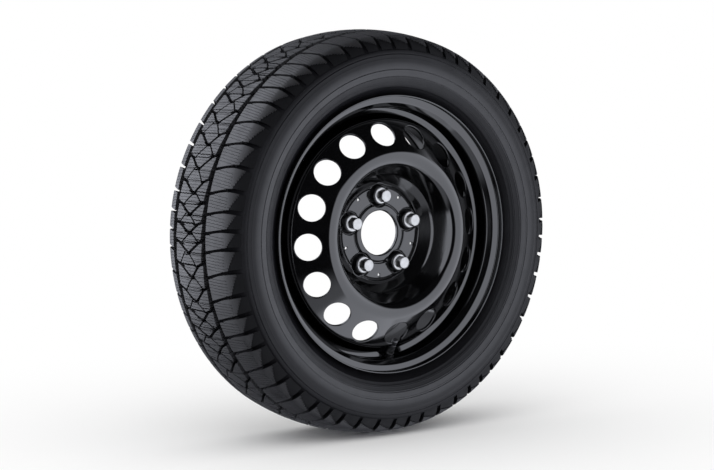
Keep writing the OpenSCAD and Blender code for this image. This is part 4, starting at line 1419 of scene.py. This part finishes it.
CAMERA_PLACE = (-2.74457, -3.73738, 0.47524)
CAMERA_TURNS = (-35.914, 5.888, -1.283)  # azimuth, elevation and roll in degrees
CAMERA_LENS, CAMERA_SENSOR = 157.823, 36


def place_camera():
    """The photo's camera, fitted to the rings that the photo shows."""
    data = bpy.data.cameras.new("camera")
    data.lens, data.sensor_width = CAMERA_LENS, CAMERA_SENSOR
    camera = bpy.data.objects.new("camera", data)
    bpy.context.scene.collection.objects.link(camera)
    az, el, roll = (math.radians(turn) for turn in CAMERA_TURNS)
    back = Vector((math.sin(az) * math.cos(el), -math.cos(az) * math.cos(el), math.sin(el)))
    right = Vector((math.cos(az), math.sin(az), 0))
    up = back.cross(right)
    across = right * math.cos(roll) + up * math.sin(roll)
    upward = up * math.cos(roll) - right * math.sin(roll)
    matrix = Matrix((across, upward, back)).transposed().to_4x4()
    matrix.translation = Vector(CAMERA_PLACE)
    camera.matrix_world = matrix
    bpy.context.scene.camera = camera


def soft_step(tree, value, low, high):
    """0 below low, 1 above high, smooth between."""
    made = node(tree, "ShaderNodeMapRange", {"Value": value, "From Min": low, "From Max": high},
                interpolation_type="SMOOTHSTEP")
    return made.outputs["Result"]


def softbox(tree, bearing, height, left, right, low, high, edge, strength):
    """Brightness of a soft rectangular light, by bearing and height in radians."""
    inside = math_node(tree, "MULTIPLY", soft_step(tree, bearing, left - edge, left + edge),
                       soft_step(tree, bearing, right + edge, right - edge))
    across = math_node(tree, "MULTIPLY", soft_step(tree, height, low - edge, low + edge),
                       soft_step(tree, height, high + edge, high - edge))
    return math_node(tree, "MULTIPLY", math_node(tree, "MULTIPLY", inside, across), strength)


# Lights as reflections meet them, fitted to the photo's brightness. In radians, with bearing 0
# outboard and growing towards +X: left, right, low, high and soft edge, then the strength
SOFTBOXES = [
    (-0.30, 1.30, -1.25, 0.52, 0.10, 2.9),
    (1.0, 1.85, -1.25, 0.45, 0.18, 2.0),
    (-1.4, -0.2, -2.2, -0.60, 0.16, 1.1),
    (-0.3, 1.95, -2.2, -1.10, 0.16, 2.0),
    (-1.95, -0.92, -0.5, 0.9, 0.08, 3.2),
    (-4.0, -2.0, -0.4, 1.2, 0.2, 3.0),
    (2.7, 4.0, -0.4, 1.2, 0.3, 0.4),
]
SKY = 0.95
STUDIO_TINT = (0.93, 0.96, 1.06, 1)
WHITE = (1, 1, 1, 1)


def make_world():
    """White to the camera, a plain level for soft light, and a studio of softboxes in reflections."""
    world = bpy.data.worlds.new("studio")
    bpy.context.scene.world = world
    world.use_nodes = True
    world.cycles.sampling_method = "NONE"
    tree = world.node_tree
    tree.nodes.clear()
    ray = node(tree, "ShaderNodeLightPath")
    place = node(tree, "ShaderNodeTexCoord").outputs["Generated"]
    x, y, z = node(tree, "ShaderNodeSeparateXYZ", {"Vector": place}).outputs
    bearing = math_node(tree, "ARCTAN2", x, math_node(tree, "MULTIPLY", y, -1.0))
    height = math_node(tree, "ARCSINE", z)
    boxes = [softbox(tree, bearing, height, *box) for box in SOFTBOXES]
    lights = boxes[0]
    for box in boxes[1:]:
        lights = math_node(tree, "MAXIMUM", lights, box)
    lights = math_node(tree, "ADD", lights, 0.03)
    studio = node(tree, "ShaderNodeBackground", {"Color": STUDIO_TINT, "Strength": lights})
    soft = node(tree, "ShaderNodeBackground", {"Color": WHITE, "Strength": SKY})
    white = node(tree, "ShaderNodeBackground", {"Color": WHITE, "Strength": 1.0})
    is_glossy, is_camera = ray.outputs["Is Glossy Ray"], ray.outputs["Is Camera Ray"]
    glossy = node(tree, "ShaderNodeMixShader", {0: is_glossy, 1: soft.outputs[0], 2: studio.outputs[0]})
    seen = node(tree, "ShaderNodeMixShader", {0: is_camera, 1: glossy.outputs[0], 2: white.outputs[0]})
    node(tree, "ShaderNodeOutputWorld", {"Surface": seen.outputs[0]})


def area_light(name, place, size, power):
    """A large soft lamp aimed at the wheel, for the matt shading and the floor's shadow."""
    data = bpy.data.lights.new(name, "AREA")
    data.energy, data.size = power, size
    light = bpy.data.objects.new(name, data)
    light.location = place
    light.rotation_euler = (-Vector(place)).to_track_quat("-Z", "Y").to_euler()
    light.visible_glossy = False
    bpy.context.scene.collection.objects.link(light)


def make_plane(name, corners):
    """A four-sided sheet."""
    mesh = bpy.data.meshes.new(name)
    mesh.from_pydata(corners, [], [(0, 1, 2, 3)])
    plane = bpy.data.objects.new(name, mesh)
    bpy.context.scene.collection.objects.link(plane)
    return plane


def make_black_card():
    """A black card behind the wheel, met by reflections alone. It was put there to darken the barrel
    seen through the right-hand vents, and it darkens reflections seen from behind too."""
    left, right, low, high, back = -0.13, 0.10, -0.17, 0.15, 0.30
    corners = [(left, back, low), (right, back, low), (right, back, high), (left, back, high)]
    card = make_plane("black_card", corners)
    material, _, shader = new_material("black_card")
    shader.inputs["Base Color"].default_value = (0.01, 0.01, 0.01, 1)
    shader.inputs["Specular IOR Level"].default_value = 0
    card.data.materials.append(material)
    card.visible_camera = card.visible_diffuse = card.visible_shadow = card.visible_transmission = False


def make_floor():
    """Pale studio floor, left out of all reflections, which show the softboxes."""
    low, size = cad_box[0][2], 9.0
    corners = [(-size, -size, low), (size, -size, low), (size, size, low), (-size, size, low)]
    floor = make_plane("floor", corners)
    material, tree, shader = new_material("pale_floor")
    shader.inputs["Base Color"].default_value = (0.96, 0.96, 0.96, 1)
    shader.inputs["Roughness"].default_value = 1.0
    shader.inputs["Specular IOR Level"].default_value = 0.0
    place = node(tree, "ShaderNodeTexCoord").outputs["Object"]
    away = node(tree, "ShaderNodeVectorMath", {0: place}, operation="LENGTH")
    fade = soft_step(tree, away.outputs["Value"], 0.35, 1.1)
    white = node(tree, "ShaderNodeEmission", {"Color": WHITE, "Strength": 1.0})
    mixed = node(tree, "ShaderNodeMixShader", {0: fade, 1: shader.outputs[0], 2: white.outputs[0]})
    tree.links.new(mixed.outputs[0], tree.nodes["Material Output"].inputs["Surface"])
    floor.data.materials.append(material)
    floor.visible_glossy = False


bpy.context.scene.view_settings.view_transform = "Standard"
place_camera()
make_world()
make_floor()
make_black_card()
area_light("key", (-2.2, -2.0, 2.8), 2.6, 26)
